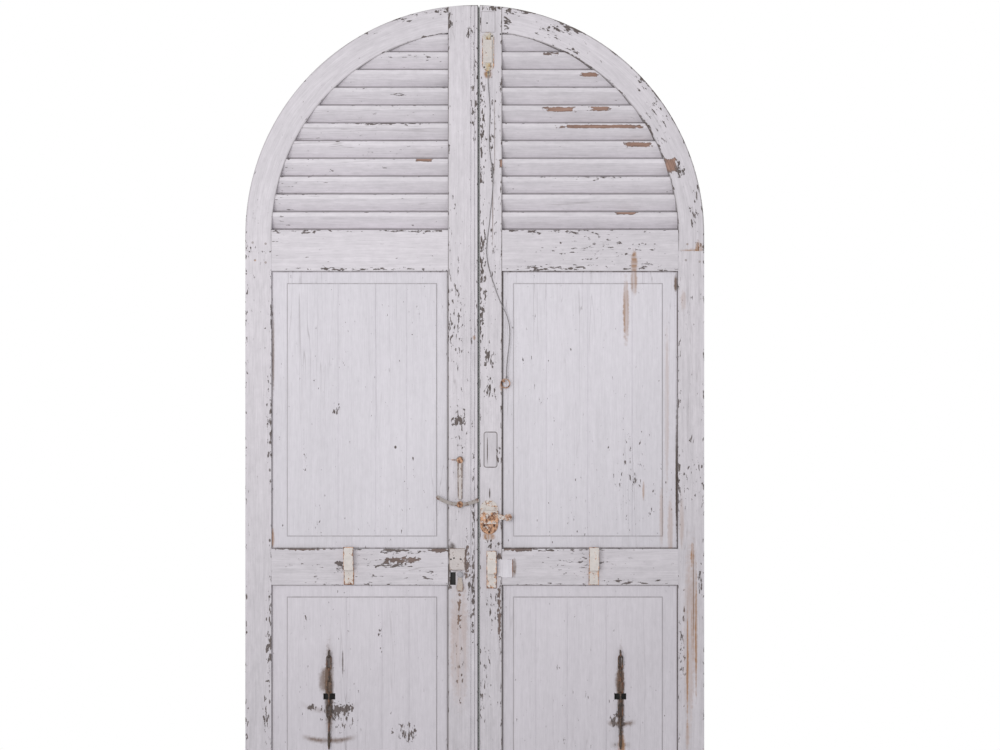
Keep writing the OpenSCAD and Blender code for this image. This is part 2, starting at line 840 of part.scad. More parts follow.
// The ring leans to the right below its nail.
module pull_ring() {
    color(RUST)
        on_face(nail_x + ring_hang * sin(ring_lean), nail_z - ring_hang * cos(ring_lean), -margin_t / 2)
            translate([0, 0, ring_off])
                rotate_extrude()
                    translate([ring_r, 0])
                        circle(d = ring_wire);
}

module ring_nail() {
    color(RUST)
        on_face(nail_x, nail_z, -margin_t / 2) {
            translate([0, 0, -nail_depth])
                cylinder(r = nail_r, h = nail_depth + nail_out);
            translate([0, 0, nail_out])
                cylinder(r = nail_head_r, h = nail_head_t);
        }
}

module rim_bolt_plate() {
    channel_h = rim_bolt_h + 2 * slide_clear;
    channel_t = rim_bolt_t + 2 * slide_clear;
    row = rim_strap_h / 2 + rim_w / 8;
    tip = rim_h / 2 - rim_w / 8;
    color(RUST)
        on_face(rim_x, rim_z)
            difference() {
                union() {
                    round_plate(rim_w, rim_h, plate_t);
                    translate([-rim_w / 2, -rim_strap_h / 2, 0])
                        cube([rim_w, rim_strap_h, plate_t + channel_t + case_wall]);
                }
                translate([-rim_w, -channel_h / 2, plate_t])
                    cube([2 * rim_w, channel_h, channel_t]);
                screw_holes([for (up = [-1, 1], p = [[-rim_w / 3.6, row], [0, tip], [rim_w / 3.6, row]])
                    [p[0], up * p[1]]]);
            }
}

// The bolt's bar, narrowing to a stem, with a turned knob that faces the room.
module rim_bolt() {
    color(RUST)
        on_face(rim_x, rim_z)
            translate([0, 0, plate_t + slide_clear]) {
                translate([-rim_w / 2, -rim_bolt_h / 2, 0])
                    cube([rim_w + rim_bolt_h / 2, rim_bolt_h, rim_bolt_t]);
                translate([0, -rim_stem / 2, 0])
                    cube([rim_tail, rim_stem, rim_bolt_t]);
                translate([rim_tail, 0, 0])
                    rotate_extrude()
                        polygon([
                            [0, 0], [rim_knob_r * 0.7, 0], [rim_knob_r * 0.7, rim_bolt_t],
                            [rim_knob_r, rim_bolt_t + 2], [rim_knob_r, rim_bolt_t + 5],
                            [rim_knob_r * 0.7, rim_bolt_t + 7.5], [0, rim_bolt_t + 8]
                        ]);
            }
}

// A headed stud with its shank in the wood, a foot, a pin of length pin_l and a domed head.
module stud(foot, pin_l) {
    top = foot + pin_l;
    rotate_extrude()
        polygon([
            [0, -stud_depth], [stud_shank_r, -stud_depth], [stud_shank_r, 0], [stud_r + 2, 0],
            [stud_r + 2, foot], [stud_r, foot], [stud_r, top], [stud_head_r, top],
            [stud_head_r, top + stud_head_h * 0.3], [stud_head_r * 0.6, top + stud_head_h * 0.85],
            [0, top + stud_head_h]
        ]);
}

module pivot_studs() {
    color(RUST) {
        on_face(hook_x, hook_z)
            stud(stud_foot, hook_t + stud_play);
        on_face(hook_x, lever_z)
            stud(lever_foot, lever_t + stud_play);
        on_face(hook_x, pull_z)
            stud(stud_foot, pull_t + stud_play);
    }
}

// The bore of a piece of thickness t that turns on a stud.
module stud_bore(t) {
    translate([0, 0, -OVER])
        cylinder(r = stud_r + stud_clear, h = t + 2 * OVER);
}

module hook_bar() {
    color(PAINT)
        on_face(hook_x, hook_z)
            translate([0, 0, stud_foot + stud_play / 2])
                difference() {
                    union() {
                        cylinder(r = hook_w * 0.67, h = hook_t);
                        linear_extrude(hook_t)
                            polygon([
                                [-hook_w / 2, 0], [-hook_tip / 2, -hook_l],
                                [hook_tip / 2, -hook_l], [hook_w / 2, 0]
                            ]);
                        translate([0, -hook_l, 0])
                            cylinder(r = hook_tip / 2, h = hook_t);
                    }
                    stud_bore(hook_t);
                }
}

// The lever's two arms follow one shallow arc through its boss.
module turn_lever() {
    a0 = asin(lever_long / lever_bend);
    a1 = asin(lever_short / lever_bend);
    color(IRON)
        on_face(hook_x, lever_z)
            translate([0, 0, lever_foot + stud_play / 2])
                difference() {
                    union() {
                        cylinder(r = lever_w, h = lever_t);
                        intersection() {
                            translate([0, lever_bend, 0])
                                linear_extrude(lever_t)
                                    difference() {
                                        circle(r = lever_bend + lever_w / 2, $fn = ARCH_FN);
                                        circle(r = lever_bend - lever_w / 2, $fn = ARCH_FN);
                                    }
                            translate([-lever_long, -lever_w, 0])
                                cube([lever_long + lever_short, lever_bend, lever_t]);
                        }
                        for (a = [-a0, a1])
                            translate([lever_bend * sin(a), lever_bend * (1 - cos(a)), 0])
                                cylinder(r = lever_w * 0.6, h = lever_t);
                    }
                    stud_bore(lever_t);
                }
}

module drop_pull() {
    w = pull_w / 2;
    color(CREAM)
        on_face(hook_x, pull_z)
            translate([0, 0, stud_foot + stud_play / 2])
                difference() {
                    union() {
                        cylinder(r = stud_r + 3.5, h = pull_t);
                        linear_extrude(pull_t)
                            polygon([
                                [-stud_r, 0], [-w * 0.6, -pull_l * 0.3], [-w, -pull_l * 0.78],
                                [-w * 0.7, -pull_l], [w * 0.7, -pull_l],
                                [w, -pull_l * 0.78], [w * 0.6, -pull_l * 0.3], [stud_r, 0]
                            ]);
                    }
                    stud_bore(pull_t);
                }
}

module lock_plate() {
    color(CREAM)
        on_face(lock_x, lock_plate_z)
            difference() {
                translate([-lock_w / 2, -lock_h / 2, 0])
                    cube([lock_w, lock_h, plate_t]);
                screw_holes(lock_holes);
            }
}

// A foot on the wood, a shelf and an upright tongue that hold a bar.
module bar_bracket(x, up) {
    t = bracket_t;
    color(CREAM)
        on_face(x, lock_z + up)
            difference() {
                across(bracket_w)
                    polygon([
                        [0, 0], [bracket_foot, 0], [bracket_foot, bracket_gap], [bracket_h, bracket_gap],
                        [bracket_h, bracket_gap + t], [bracket_foot - t, bracket_gap + t],
                        [bracket_foot - t, t], [0, t]
                    ]);
                for (k = [0, 1])
                    translate([0, bracket_hole_low + k * bracket_hole_gap, -OVER])
                        cylinder(r = screw_r, h = t + 2 * OVER);
            }
}

module right_bar_brackets() {
    bar_bracket(right_bracket_x, right_bracket_up);
    bar_bracket(stile_bracket_x, stile_bracket_up);
}

// A bent ring of wire through an angle, with mid radius r.
module wire_bend(r, d, angle) {
    rotate_extrude(angle = angle)
        translate([r, 0])
            circle(d = d);
}

// A staple driven into the panel with one leg above the other.
module chain_staple(side) {
    color(IRON)
        on_face(side * slot_x, staple_z, -field_t / 2) {
            for (up = [-1, 1])
                translate([0, up * staple_gap / 2, -staple_depth])
                    cylinder(d = staple_wire, h = staple_depth + staple_leg);
            translate([0, 0, staple_leg])
                rotate([90, 0, 90])
                    wire_bend(staple_gap / 2, staple_wire, 180);
        }
}

module chain_link() {
    for (turn = [0, 180])
        rotate([0, 0, turn]) {
            translate([0, link_straight / 2, 0])
                wire_bend(link_mid, chain_wire, 180);
            translate([link_mid, -link_straight / 2, 0])
                rotate([-90, 0, 0])
                    cylinder(d = chain_wire, h = link_straight);
        }
}

// Links that hang from the staple's lower leg, face on and edge on by turns, with a pin at the end.
module chain(side) {
    end_y = first_link - LINKS * link_pitch;
    eye_y = end_y + link_l / 2 - link_mid;
    color(IRON)
        on_face(side * slot_x, staple_z - staple_gap / 2, -field_t / 2)
            translate([0, 0, chain_off]) {
                for (k = [0 : LINKS - 1])
                    translate([0, first_link - k * link_pitch, 0])
                        rotate([0, (k % 2) * 90, 0])
                            chain_link();
                translate([0, eye_y, 0]) {
                    rotate([0, 90, 0])
                        wire_bend(link_mid, chain_wire, 360);
                    translate([0, -link_mid, 0])
                        rotate([90, 0, 0])
                            chain_pin();
                }
            }
}

module chain_pin() {
    cylinder(r = chain_pin_r, h = chain_pin_l * 0.75);
    translate([0, 0, chain_pin_l * 0.75])
        cylinder(r1 = chain_pin_r, r2 = chain_pin_r / 2, h = chain_pin_l * 0.25);
}

outer_stile(LEFT);  // left_outer_stile
outer_stile(RIGHT);  // right_outer_stile
meeting_stile(LEFT);  // left_meeting_stile
meeting_stile(RIGHT);  // right_meeting_stile
arch_head(LEFT);  // left_arch_head
arch_head(RIGHT);  // right_arch_head
transom_rail(LEFT);  // left_transom_rail
transom_rail(RIGHT);  // right_transom_rail
lock_rail(LEFT);  // left_lock_rail
lock_rail(RIGHT);  // right_lock_rail
bottom_rail(LEFT);  // left_bottom_rail
bottom_rail(RIGHT);  // right_bottom_rail
upper_panel(LEFT);  // left_upper_panel
upper_panel(RIGHT);  // right_upper_panel
lower_panel(LEFT);  // left_lower_panel
lower_panel(RIGHT);  // right_lower_panel
hinge_straps(LEFT);  // left_hinge_straps
hinge_straps(RIGHT);  // right_hinge_straps
pintles(LEFT);  // left_pintles
pintles(RIGHT);  // right_pintles
chain_staple(LEFT);  // left_chain_staple
chain_staple(RIGHT);  // right_chain_staple
chain(LEFT);  // left_chain
chain(RIGHT);  // right_chain
latch_plate();
latch_bolt();
latch_cord();
pull_ring();
ring_nail();
rim_bolt_plate();
rim_bolt();
pivot_studs();
hook_bar();
turn_lever();
lock_plate();
drop_pull();
bar_bracket(left_bracket_x, left_bracket_up);  // left_bar_bracket
right_bar_brackets();
for (side = [LEFT, RIGHT], k = [1 : SLATS])
    louvre_slat(side, k);
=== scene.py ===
"""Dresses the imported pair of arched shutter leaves: weathered paint, rusted ironwork, cord and stage."""

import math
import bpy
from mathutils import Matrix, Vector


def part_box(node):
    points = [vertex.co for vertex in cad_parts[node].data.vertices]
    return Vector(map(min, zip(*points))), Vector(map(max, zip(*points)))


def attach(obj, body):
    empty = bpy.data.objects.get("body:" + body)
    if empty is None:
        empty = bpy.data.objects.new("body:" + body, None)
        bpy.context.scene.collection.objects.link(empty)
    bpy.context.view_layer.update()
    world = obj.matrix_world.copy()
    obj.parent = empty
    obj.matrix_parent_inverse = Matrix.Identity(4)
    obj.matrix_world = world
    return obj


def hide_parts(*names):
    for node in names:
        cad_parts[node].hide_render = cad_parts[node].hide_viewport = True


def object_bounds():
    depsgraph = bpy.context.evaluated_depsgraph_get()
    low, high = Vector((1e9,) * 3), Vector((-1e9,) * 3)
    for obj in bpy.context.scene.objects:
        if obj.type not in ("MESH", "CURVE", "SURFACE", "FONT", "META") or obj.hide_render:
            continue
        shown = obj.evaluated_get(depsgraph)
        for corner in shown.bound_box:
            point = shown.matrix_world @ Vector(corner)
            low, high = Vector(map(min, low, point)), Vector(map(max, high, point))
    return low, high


bl_info = {
    "name": "Arched Shutter Leaves",
    "version": (1, 0, 0),
    "blender": (4, 5, 0),
    "location": "View3D > Sidebar > Shutter",
    "description": "Dresses a pair of weathered shutter leaves, louvred above and panelled below",
    "category": "Object",
}

import bmesh
import bpy
from bpy.props import FloatProperty, FloatVectorProperty, PointerProperty
from mathutils import Matrix, Vector, noise

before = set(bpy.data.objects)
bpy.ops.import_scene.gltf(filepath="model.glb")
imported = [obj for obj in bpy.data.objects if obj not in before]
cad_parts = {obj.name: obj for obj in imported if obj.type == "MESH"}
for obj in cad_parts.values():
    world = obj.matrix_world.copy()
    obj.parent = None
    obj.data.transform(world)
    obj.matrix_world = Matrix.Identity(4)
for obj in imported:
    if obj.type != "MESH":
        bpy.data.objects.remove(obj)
CAD_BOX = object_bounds()

SIDES = ("left", "right")
SLATS = 11
FRONT = Matrix.Rotation(math.radians(90), 4, "X")
BACK = Matrix.Rotation(math.radians(-90), 4, "X")
LEAF_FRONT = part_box("left_lock_rail")[0].y
# Thickness of the hinge straps, the screwed plates and the brackets' feet.
STRAP, PLATE, BRACKET = 0.005, 0.0022, 0.0037
# Height at which the arch springs, and the arch heads' inner and mean radius.
SPRING_Z = CAD_BOX[1].z - CAD_BOX[1].x
ARCH_IN, ARCH_MEAN = 0.532, 0.566

# Wear, dirt and a few painted shadows seen on the front, by piece and kind: each mark's middle in x and z, its
# half width and its half height, in mm.
MARKS = {
    "left_meeting_stile": {
        "rust": [(-2, 1503, 4.5, 6.5)],
        "worn": [(-22, 918, 10.5, 48), (-40, 790, 6, 52)],
        "specks": [(-2, 2179, 10.5, 183.4), (-36, 1268, 23.6, 72.1), (-42, 640, 14, 130),
                   (-52, 1860, 12, 50)],
        "flaked": [(-15, 2299, 10, 14), (-65, 2322, 8, 35), (-66, 880, 7.5, 42)],
        "chips": [(-44, 1285, 18, 14), (-10, 797, 13.1, 85.1), (-4, 1000, 4.2, 300)],
        "tint": [(-40, 700, 26, 170)],
        "fine": [(-45, 1620, 23, 170), (-45, 1390, 23, 170)],
        "grime": [(-60, 940, 13, 30), (-52, 906, 13, 15)],
    },
    "right_meeting_stile": {
        "chips": [(45, 1935, 5.2, 34.1), (22, 2035, 7.9, 170), (60, 1200, 6, 40), (43, 965, 24, 16),
                  (23, 1680, 10, 170), (47, 790, 16, 50)],
        "flaked": [(40, 1449, 17, 27), (40, 1370, 19, 36), (44, 2364, 28, 7)],
        "rust": [(71, 1374, 6, 11), (36, 2192, 12, 11), (37, 984, 18, 11)],
        "bare": [(73, 1958, 9, 10)],
        "specks": [(46, 2040, 12, 100), (50, 1700, 14, 130), (30, 620, 14, 140)],
        "grime": [(39, 1095, 2, 14.4), (33, 1211, 1.6, 40)],
        # The two thin stain bars beside the pull cord are painted shadows of the cord.
        "stain": [(52, 2020, 1.3, 130), (47, 1840, 1.3, 110)],
        "worn": [(64, 785, 5, 75), (63, 930, 8, 14)],
    },
    "right_transom_rail": {
        "chips": [(155, 1780, 68.1, 8.5), (218, 1687, 125.8, 8.5)],
        "specks": [(285, 1775, 61.6, 10.5), (330, 1735, 160, 30), (430, 1690, 80, 10)],
        "rust": [(417, 1699, 9.2, 34)],
    },
    "left_transom_rail": {
        "specks": [(-432, 1780, 65.5, 7), (-162, 1780, 86.5, 7)],
        "chips": [(-300, 1684, 191.3, 5)],
    },
    "left_lock_rail": {
        "chips": [(-198, 944, 65.5, 7), (-205, 908, 56, 9), (-352, 908, 15, 17)],
        "worn": [(-185, 922, 64, 9.5), (-455, 952, 70, 6), (-96, 947, 32, 9.5)],
        "specks": [(-130, 880, 45, 16)],
        "fine": [(-430, 895, 90, 32)],
    },
    "right_lock_rail": {
        "stain": [(104, 902, 5.5, 25)],
        "chips": [(160, 947, 70, 4.5)],
        "worn": [(108, 951, 45, 7.5)],
        "specks": [(420, 866, 91.7, 8.5)],
        "fine": [(300, 905, 170, 33)],
    },
    "right_outer_stile": {
        "tint": [(573, 810, 9, 170), (541, 1020, 7, 70), (546, 1600, 8, 30), (560, 700, 14, 260)],
        "rust": [(569, 935, 5.5, 32), (556, 463, 5, 44.5), (579, 730, 3.4, 170), (556, 640, 3.2, 150)],
        "specks": [(567, 1235, 7.9, 26.2)],
        "chips": [(590, 869, 7, 52.4), (545, 700, 8, 150)],
        "stain": [(572, 830, 2.2, 130)],
    },
    "left_outer_stile": {
        "grime": [(-536, 1157, 3.3, 5.2), (-536, 973, 3.3, 5.2)],
        "chips": [(-540, 725, 8.5, 117.9), (-546, 515, 9, 91.7)],
        "specks": [(-592, 489, 8.5, 65.5), (-538, 1275, 7.9, 157.9)],
    },
    "left_upper_panel": {
        "specks": [(-365, 1320, 20, 20), (-442, 1183, 7.9, 57.6)],
        "grime": [(-208, 1217, 3.4, 4.6)],
        "rust": [(-529, 978, 5, 26)],
        "stain": [(-528, 1470, 3.5, 120)],
        "fine": [(-165, 1100, 20, 110), (-410, 1030, 30, 50)],
    },
    "right_upper_panel": {
        "rust": [(417, 1652, 9.2, 38), (396, 1575, 8.4, 88), (442, 1104, 3, 26.2)],
        "stain": [(526.5, 1645, 5, 25)],
        "grime": [(528, 1150, 2.8, 170)],
        "tint": [(489, 1030, 6, 90), (503, 1330, 6, 240), (512, 1000, 8, 90)],
        "fine": [(412, 1133, 40, 140)],
    },
    "left_lower_panel": {
        "stain": [(-392, 606, 17, 38), (-381, 580, 12, 130)],
        "grime": [(-381, 655, 5, 36), (-383, 545, 11, 42), (-346, 652, 2.2, 36)],
        "chips": [(-423, 535, 14, 10), (-350, 510, 50, 42), (-182, 470, 33, 33)],
        "specks": [(-355, 533, 36, 16), (-442, 751, 12, 39.3), (-250, 690, 6, 70)],
    },
    "right_lower_panel": {
        "stain": [(380, 600, 13, 48), (382, 560, 9.5, 135)],
        "grime": [(381, 650, 4, 36), (382, 515, 8.5, 56)],
        "rust": [(384, 430, 10, 40)],
        "chips": [(375, 500, 30, 26)],
    },
    "left_arch_head": {
        "chips": [(-590, 1728, 12, 14), (-452, 2180, 16, 9), (-352, 2284, 13, 9), (-104, 2290, 33, 6),
                  (-205, 2333, 50, 9)],
        "fine": [(-586, 1840, 11, 35)],
        "rust": [(-584, 1716, 8.5, 13)],
        "flaked": [(-80, 2360, 26, 7)],
        "specks": [(-130, 2352, 70, 9)],
    },
    "right_arch_head": {
        "rust": [(563, 1725, 30, 11), (586, 1738, 10, 18)],
        "flaked": [(588, 1742, 11, 15), (84, 2330, 10, 30)],
        "bare": [(512, 1955, 15.7, 19.7)],
        "chips": [(120, 2355, 50, 10), (440, 2170, 20, 28), (538, 1945, 20, 22), (250, 2252, 50, 9)],
        "specks": [(250, 2312, 70, 14), (230, 2300, 90, 40), (480, 2060, 46, 80), (575, 1838, 16, 78.6)],
    },
    "left_slats": {
        "bare": [(-134, 1969, 24.9, 5.2)],
        "specks": [(-150, 2240, 70, 6), (-314, 2152, 65.5, 5.2), (-250, 2063, 145.9, 5.2)],
        "chips": [(-200, 2140, 20, 4)],
    },
    "right_slats": {
        "bare": [(223, 2101, 46, 6.6), (328, 2103, 30, 6), (335, 2056, 125, 5), (429, 2009, 44, 6.6),
                 (399, 1831, 30, 6), (300, 2192, 26.2, 6), (335, 2168, 20, 10)],
        "worn": [(200, 2246, 30, 5)],
        "specks": [(171, 2175, 42.4, 7), (300, 1921, 141.9, 9.2)],
    },
}
# What a mark of each kind adds to the masks of wear, of warm wood under it and of dirt on the paint; the stain
# mask also carries the pull cord's painted shadows.
EFFECTS = {
    "flaked": {"wear": 0.60}, "chips": {"wear": 0.47}, "specks": {"wear": 0.33}, "fine": {"wear": 0.16},
    "bare": {"wear": 1.30, "warm": 1.0}, "worn": {"wear": 0.80, "warm": 0.22},
    "rust": {"rust": 1.0}, "tint": {"rust": 0.4}, "stain": {"stain": 1.0}, "grime": {"grime": 1.0},
}
# Near-black that paints the shade inside the meeting gap, the left mortise and the lower panels' slots.
PAINTED_SHADE_BLACK = (0.004, 0.0035, 0.003)
RAGGED = ("flaked", "chips", "specks", "fine", "worn")

# The pull cord's way from the latch's tail down the stile to the ring.
CORD_ROUTE = (
    (0.0350, -0.0253, 2.1960), (0.0350, -0.0253, 2.1840), (0.0350, -0.0253, 2.1710),
    (0.0360, -0.0230, 2.1540), (0.0375, -0.0196, 2.1380), (0.0390, -0.0180, 2.1200),
    (0.0400, -0.0178, 2.0950), (0.0390, -0.0178, 2.0600), (0.0380, -0.0178, 2.0200),
    (0.0400, -0.0178, 1.9850), (0.0450, -0.0178, 1.9500), (0.0480, -0.0178, 1.9150),
    (0.0460, -0.0178, 1.8800), (0.0420, -0.0178, 1.8400), (0.0380, -0.0178, 1.8000),
    (0.0330, -0.0178, 1.7600), (0.0310, -0.0178, 1.7250), (0.0350, -0.0178, 1.6950),
    (0.0420, -0.0178, 1.6680), (0.0510, -0.0178, 1.6400), (0.0600, -0.0178, 1.6140),
    (0.0720, -0.0180, 1.5860), (0.0840, -0.0184, 1.5600), (0.0910, -0.0188, 1.5300),
    (0.0910, -0.0190, 1.4960), (0.0870, -0.0190, 1.4620), (0.0840, -0.0190, 1.4300),
    (0.0830, -0.0190, 1.4100), (0.0830, -0.0190, 1.3966),
)


def srgb(red, green, blue):
    """An 8-bit screen colour as linear values."""
    return tuple(((c / 255 + 0.055) / 1.055) ** 2.4 for c in (red, green, blue))


def size(name, description, default):
    return FloatProperty(name=name, description=description, default=default, unit="LENGTH", precision=4)


def colour(name, description, red, green, blue):
    return FloatVectorProperty(
        name=name, description=description, default=srgb(red, green, blue), subtype="COLOR", min=0, max=1)


class ShutterSizes(bpy.types.PropertyGroup):
    """Sizes of the rounded edges and of the small pieces."""

    wood_arris: size("Wood arris", "Rounding of the stiles', rails' and arch heads' edges", 0.0014)
    slat_arris: size("Slat arris", "Rounding of the slats' edges", 0.0009)
    iron_arris: size("Iron arris", "Rounding of the iron plates' edges", 0.0006)
    screw_radius: size("Screw head", "Radius of the screw heads", 0.0042)
    bolt_radius: size("Hinge bolt head", "Radius of the bolt heads on the hinge straps", 0.0085)
    nail_radius: size("Nail head", "Radius of the nail heads", 0.0030)
    cord_diameter: size("Cord", "Thickness of the pull cord", 0.0025)
    strand_pitch: size("Strand pitch", "Length of one turn of the cord's strands", 0.011)


class ShutterColours(bpy.types.PropertyGroup):
    """Colours of the paint, the bare wood, the iron and the stage."""

    frame_paint: colour("Frame paint", "Paint on the stiles, rails and arch heads", 215, 210, 216)
    panel_paint: colour("Upper panel paint", "Paint on the upper panels", 221, 217, 224)
    foot_paint: colour("Lower panel paint", "Paint on the lower panels", 221, 216, 223)
    slat_paint: colour("Slat paint", "Paint on the louvre slats", 220, 215, 221)
    grey_wood: colour("Grey wood", "Weathered wood under the paint", 108, 99, 97)
    warm_wood: colour("Warm wood", "Fresh bare wood under the paint", 162, 131, 118)
    rust_stain: colour("Rust stain", "Rust that has run into the paint", 158, 118, 84)
    # The stain colour also paints the pull cord's shadows on the right meeting stile.
    stain: colour("Stain", "Brown dirt that iron has left in the paint", 112, 92, 80)
    # The grime colour also paints shade: the lines round panels and meeting stiles, the slats' laps and the
    # panels' margins.
    grime: colour("Grime", "Dirt in the corners and round the chains", 74, 62, 56)
    iron_paint: colour("Iron paint", "Old cream paint on the ironwork", 214, 207, 203)
    light_rust: colour("Light rust", "Fresh rust on the ironwork", 214, 168, 136)
    dark_rust: colour("Dark rust", "Old rust on the ironwork", 106, 72, 56)
    dark_iron: colour("Dark iron", "Bare blackened iron", 38, 33, 31)
    cord: colour("Cord", "Weathered twine of the pull cord", 150, 146, 148)
    floor: colour("Floor", "Pale floor under the leaves", 236, 236, 238)


class ShutterStage(bpy.types.PropertyGroup):
    """Place of the camera and level of the light."""

    camera_x: size("Camera x", "Place of the camera across", 0.066)
    camera_distance: size("Camera distance", "Distance of the camera in front of the leaves", 5.0)
    camera_z: size("Camera height", "Height of the level camera", 1.4057)
    view_width: size("View width", "Width of the view at the leaves", 2.615)
    surround: FloatProperty(
        name="Surround light", description="Level of the light from all round", default=0.47)
    key_power: FloatProperty(
        name="Key lamp", description="Power of the soft lamp", default=101, unit="POWER")


class Wiring:
    """Short calls that add and link the nodes of one tree."""

    def __init__(self, tree):
        self.tree = tree

    def put(self, socket, value):
        if isinstance(value, bpy.types.NodeSocket):
            self.tree.links.new(value, socket)
        elif value is not None:
            if socket.type == "RGBA" and len(value) == 3:
                value = (*value, 1)
            socket.default_value = value

    def add(self, kind, *values, **settings):
        made = self.tree.nodes.new(kind)
        for key, value in settings.items():
            setattr(made, key, value)
        for socket, value in zip(made.inputs, values):
            self.put(socket, value)
        return made

    def group(self, name, **values):
        made = self.tree.nodes.new("ShaderNodeGroup")
        made.node_tree = bpy.data.node_groups[name]
        for key, value in values.items():
            self.put(made.inputs[key.replace("_", " ").title()], value)
        return made.outputs

    def math(self, operation, *values, clamp=False):
        return self.add("ShaderNodeMath", *values, operation=operation, use_clamp=clamp).outputs[0]

    def vector(self, operation, *values):
        made = self.add("ShaderNodeVectorMath", *values, operation=operation)
        return made.outputs["Value" if operation == "LENGTH" else "Vector"]

    def scaled(self, vector, factor):
        made = self.add("ShaderNodeVectorMath", vector, operation="SCALE")
        self.put(made.inputs["Scale"], factor)
        return made.outputs["Vector"]

    def step(self, value, low, high, start=0.0, end=1.0):
        made = self.add("ShaderNodeMapRange", value, low, high, start, end, interpolation_type="SMOOTHSTEP")
        return made.outputs[0]

    def fall(self, value, low, high):
        return self.step(value, low, high, 1.0, 0.0)

    def on_front(self, place):
        return self.fall(self.split(place)[1], -0.001, 0.002)

    def sway(self, noise, amount, middle=0.0):
        return self.math("MULTIPLY_ADD", self.math("SUBTRACT", noise, 0.5), amount, middle)

    def noise(self, place, stretch, detail=2.0, roughness=0.5, distortion=0.0):
        made = self.add("ShaderNodeTexNoise", self.vector("MULTIPLY", place, stretch))
        made.inputs["Scale"].default_value = 1
        made.inputs["Detail"].default_value = detail
        made.inputs["Roughness"].default_value = roughness
        made.inputs["Distortion"].default_value = distortion
        return made.outputs[0]

    def blend(self, factor, first, second, mode="MIX"):
        made = self.add("ShaderNodeMix", data_type="RGBA", blend_type=mode)
        self.put(made.inputs[0], factor)
        self.put(made.inputs[6], first)
        self.put(made.inputs[7], second)
        return made.outputs[2]

    def split(self, vector):
        return self.add("ShaderNodeSeparateXYZ", vector).outputs

    def join(self, x, y, z):
        return self.add("ShaderNodeCombineXYZ", x, y, z).outputs[0]


# Sockets that aren't plain values.
VECTORS = ("Place", "Board", "Centre", "Half", "Low", "High")
COLOURS = ("Colour", "Paint", "Grey Wood", "Warm Wood", "Rust Stain", "Stain Colour", "Grime Colour",
           "Light Rust", "Dark Rust")


def new_group(name, inputs, outputs):
    """An empty shader node group with its sockets, its wiring, and the sockets of its two ends."""
    tree = bpy.data.node_groups.new(name, "ShaderNodeTree")
    for way, labels in (("INPUT", inputs), ("OUTPUT", outputs)):
        for label in labels:
            kind = "Vector" if label in VECTORS else "Color" if label in COLOURS else "Float"
            tree.interface.new_socket(name=label, in_out=way, socket_type=f"NodeSocket{kind}")
    wires = Wiring(tree)
    return wires, wires.add("NodeGroupInput").outputs, wires.add("NodeGroupOutput").inputs


def group_board_edges():
    """How near a place on a board is to the board's long and short edges."""
    wires, given, out = new_group("Board Edges", ("Board", "Low", "High", "Width"), ("Band", "Line"))
    low = wires.split(wires.vector("SUBTRACT", given["Board"], given["Low"]))
    high = wires.split(wires.vector("SUBTRACT", given["High"], given["Board"]))
    across = wires.math("MINIMUM", low[0], high[0])
    along = wires.math("MINIMUM", low[2], high[2])
    near = wires.math("MINIMUM", across, along)
    wires.put(out["Band"], wires.fall(near, 0.0, given["Width"]))
    wires.put(out["Line"], wires.fall(wires.math("ABSOLUTE", near), 0.0, given["Width"]))


def group_wear_mark():
    """A ragged oval or bar on the front, for one mark of wear or dirt; a few marks are painted shadows."""
    wires, given, out = new_group("Wear Mark", ("Place", "Centre", "Half", "Ragged", "Square"), ("Mask",))
    off = wires.vector("DIVIDE", wires.vector("SUBTRACT", given["Place"], given["Centre"]), given["Half"])
    round_far = wires.vector("LENGTH", wires.vector("MULTIPLY", off, (1, 0, 1)))
    sides = wires.split(wires.vector("ABSOLUTE", off))
    square_far = wires.math("SUBTRACT", wires.math("MAXIMUM", sides[0], sides[2]), round_far)
    far = wires.math("MULTIPLY_ADD", square_far, given["Square"], round_far)
    edge = wires.sway(given["Ragged"], 2.2, far)
    front = wires.on_front(given["Place"])
    wires.put(out["Mask"], wires.math("MULTIPLY", wires.fall(edge, 0.5, 1.2), front))


def group_plate_scar():
    """The outline that a lost plate has left in the paint on the front."""
    wires, given, out = new_group(
        "Plate Scar", ("Place", "Centre", "Half", "Round", "Width"), ("Outline", "Inside"))
    off = wires.vector("ABSOLUTE", wires.vector("SUBTRACT", given["Place"], given["Centre"]))
    corner = wires.vector("SUBTRACT", off, given["Half"])
    rounded = wires.vector("ADD", corner, wires.join(given["Round"], 0.0, given["Round"]))
    outside = wires.vector("MAXIMUM", wires.vector("MULTIPLY", rounded, (1, 0, 1)), (0, 0, 0))
    far = wires.math("SUBTRACT", wires.vector("LENGTH", outside), given["Round"])
    front = wires.on_front(given["Place"])
    line = wires.fall(wires.math("ABSOLUTE", far), 0.0, given["Width"])
    wires.put(out["Outline"], wires.math("MULTIPLY", line, front))
    wires.put(out["Inside"], wires.math("MULTIPLY", wires.fall(far, -0.001, 0.001), front))


def group_swing_scar():
    """The arc that a hanging piece's end has rubbed into the paint below its pivot."""
    wires, given, out = new_group(
        "Swing Scar", ("Place", "Centre", "Radius", "Reach", "Width", "Ragged"), ("Mask",))
    off = wires.vector("MULTIPLY", wires.vector("SUBTRACT", given["Place"], given["Centre"]), (1, 0, 1))
    far = wires.math("ABSOLUTE", wires.math("SUBTRACT", wires.vector("LENGTH", off), given["Radius"]))
    far = wires.sway(given["Ragged"], 0.012, far)
    aside = wires.math("DIVIDE", wires.math("ABSOLUTE", wires.split(off)[0]), given["Reach"])
    below = wires.fall(wires.split(off)[2], -0.01, 0.0)
    front = wires.on_front(given["Place"])
    band = wires.math("MULTIPLY", wires.fall(far, 0.0, given["Width"]), wires.fall(aside, 0.5, 1.0))
    wires.put(out["Mask"], wires.math("MULTIPLY", band, wires.math("MULTIPLY", below, front)))


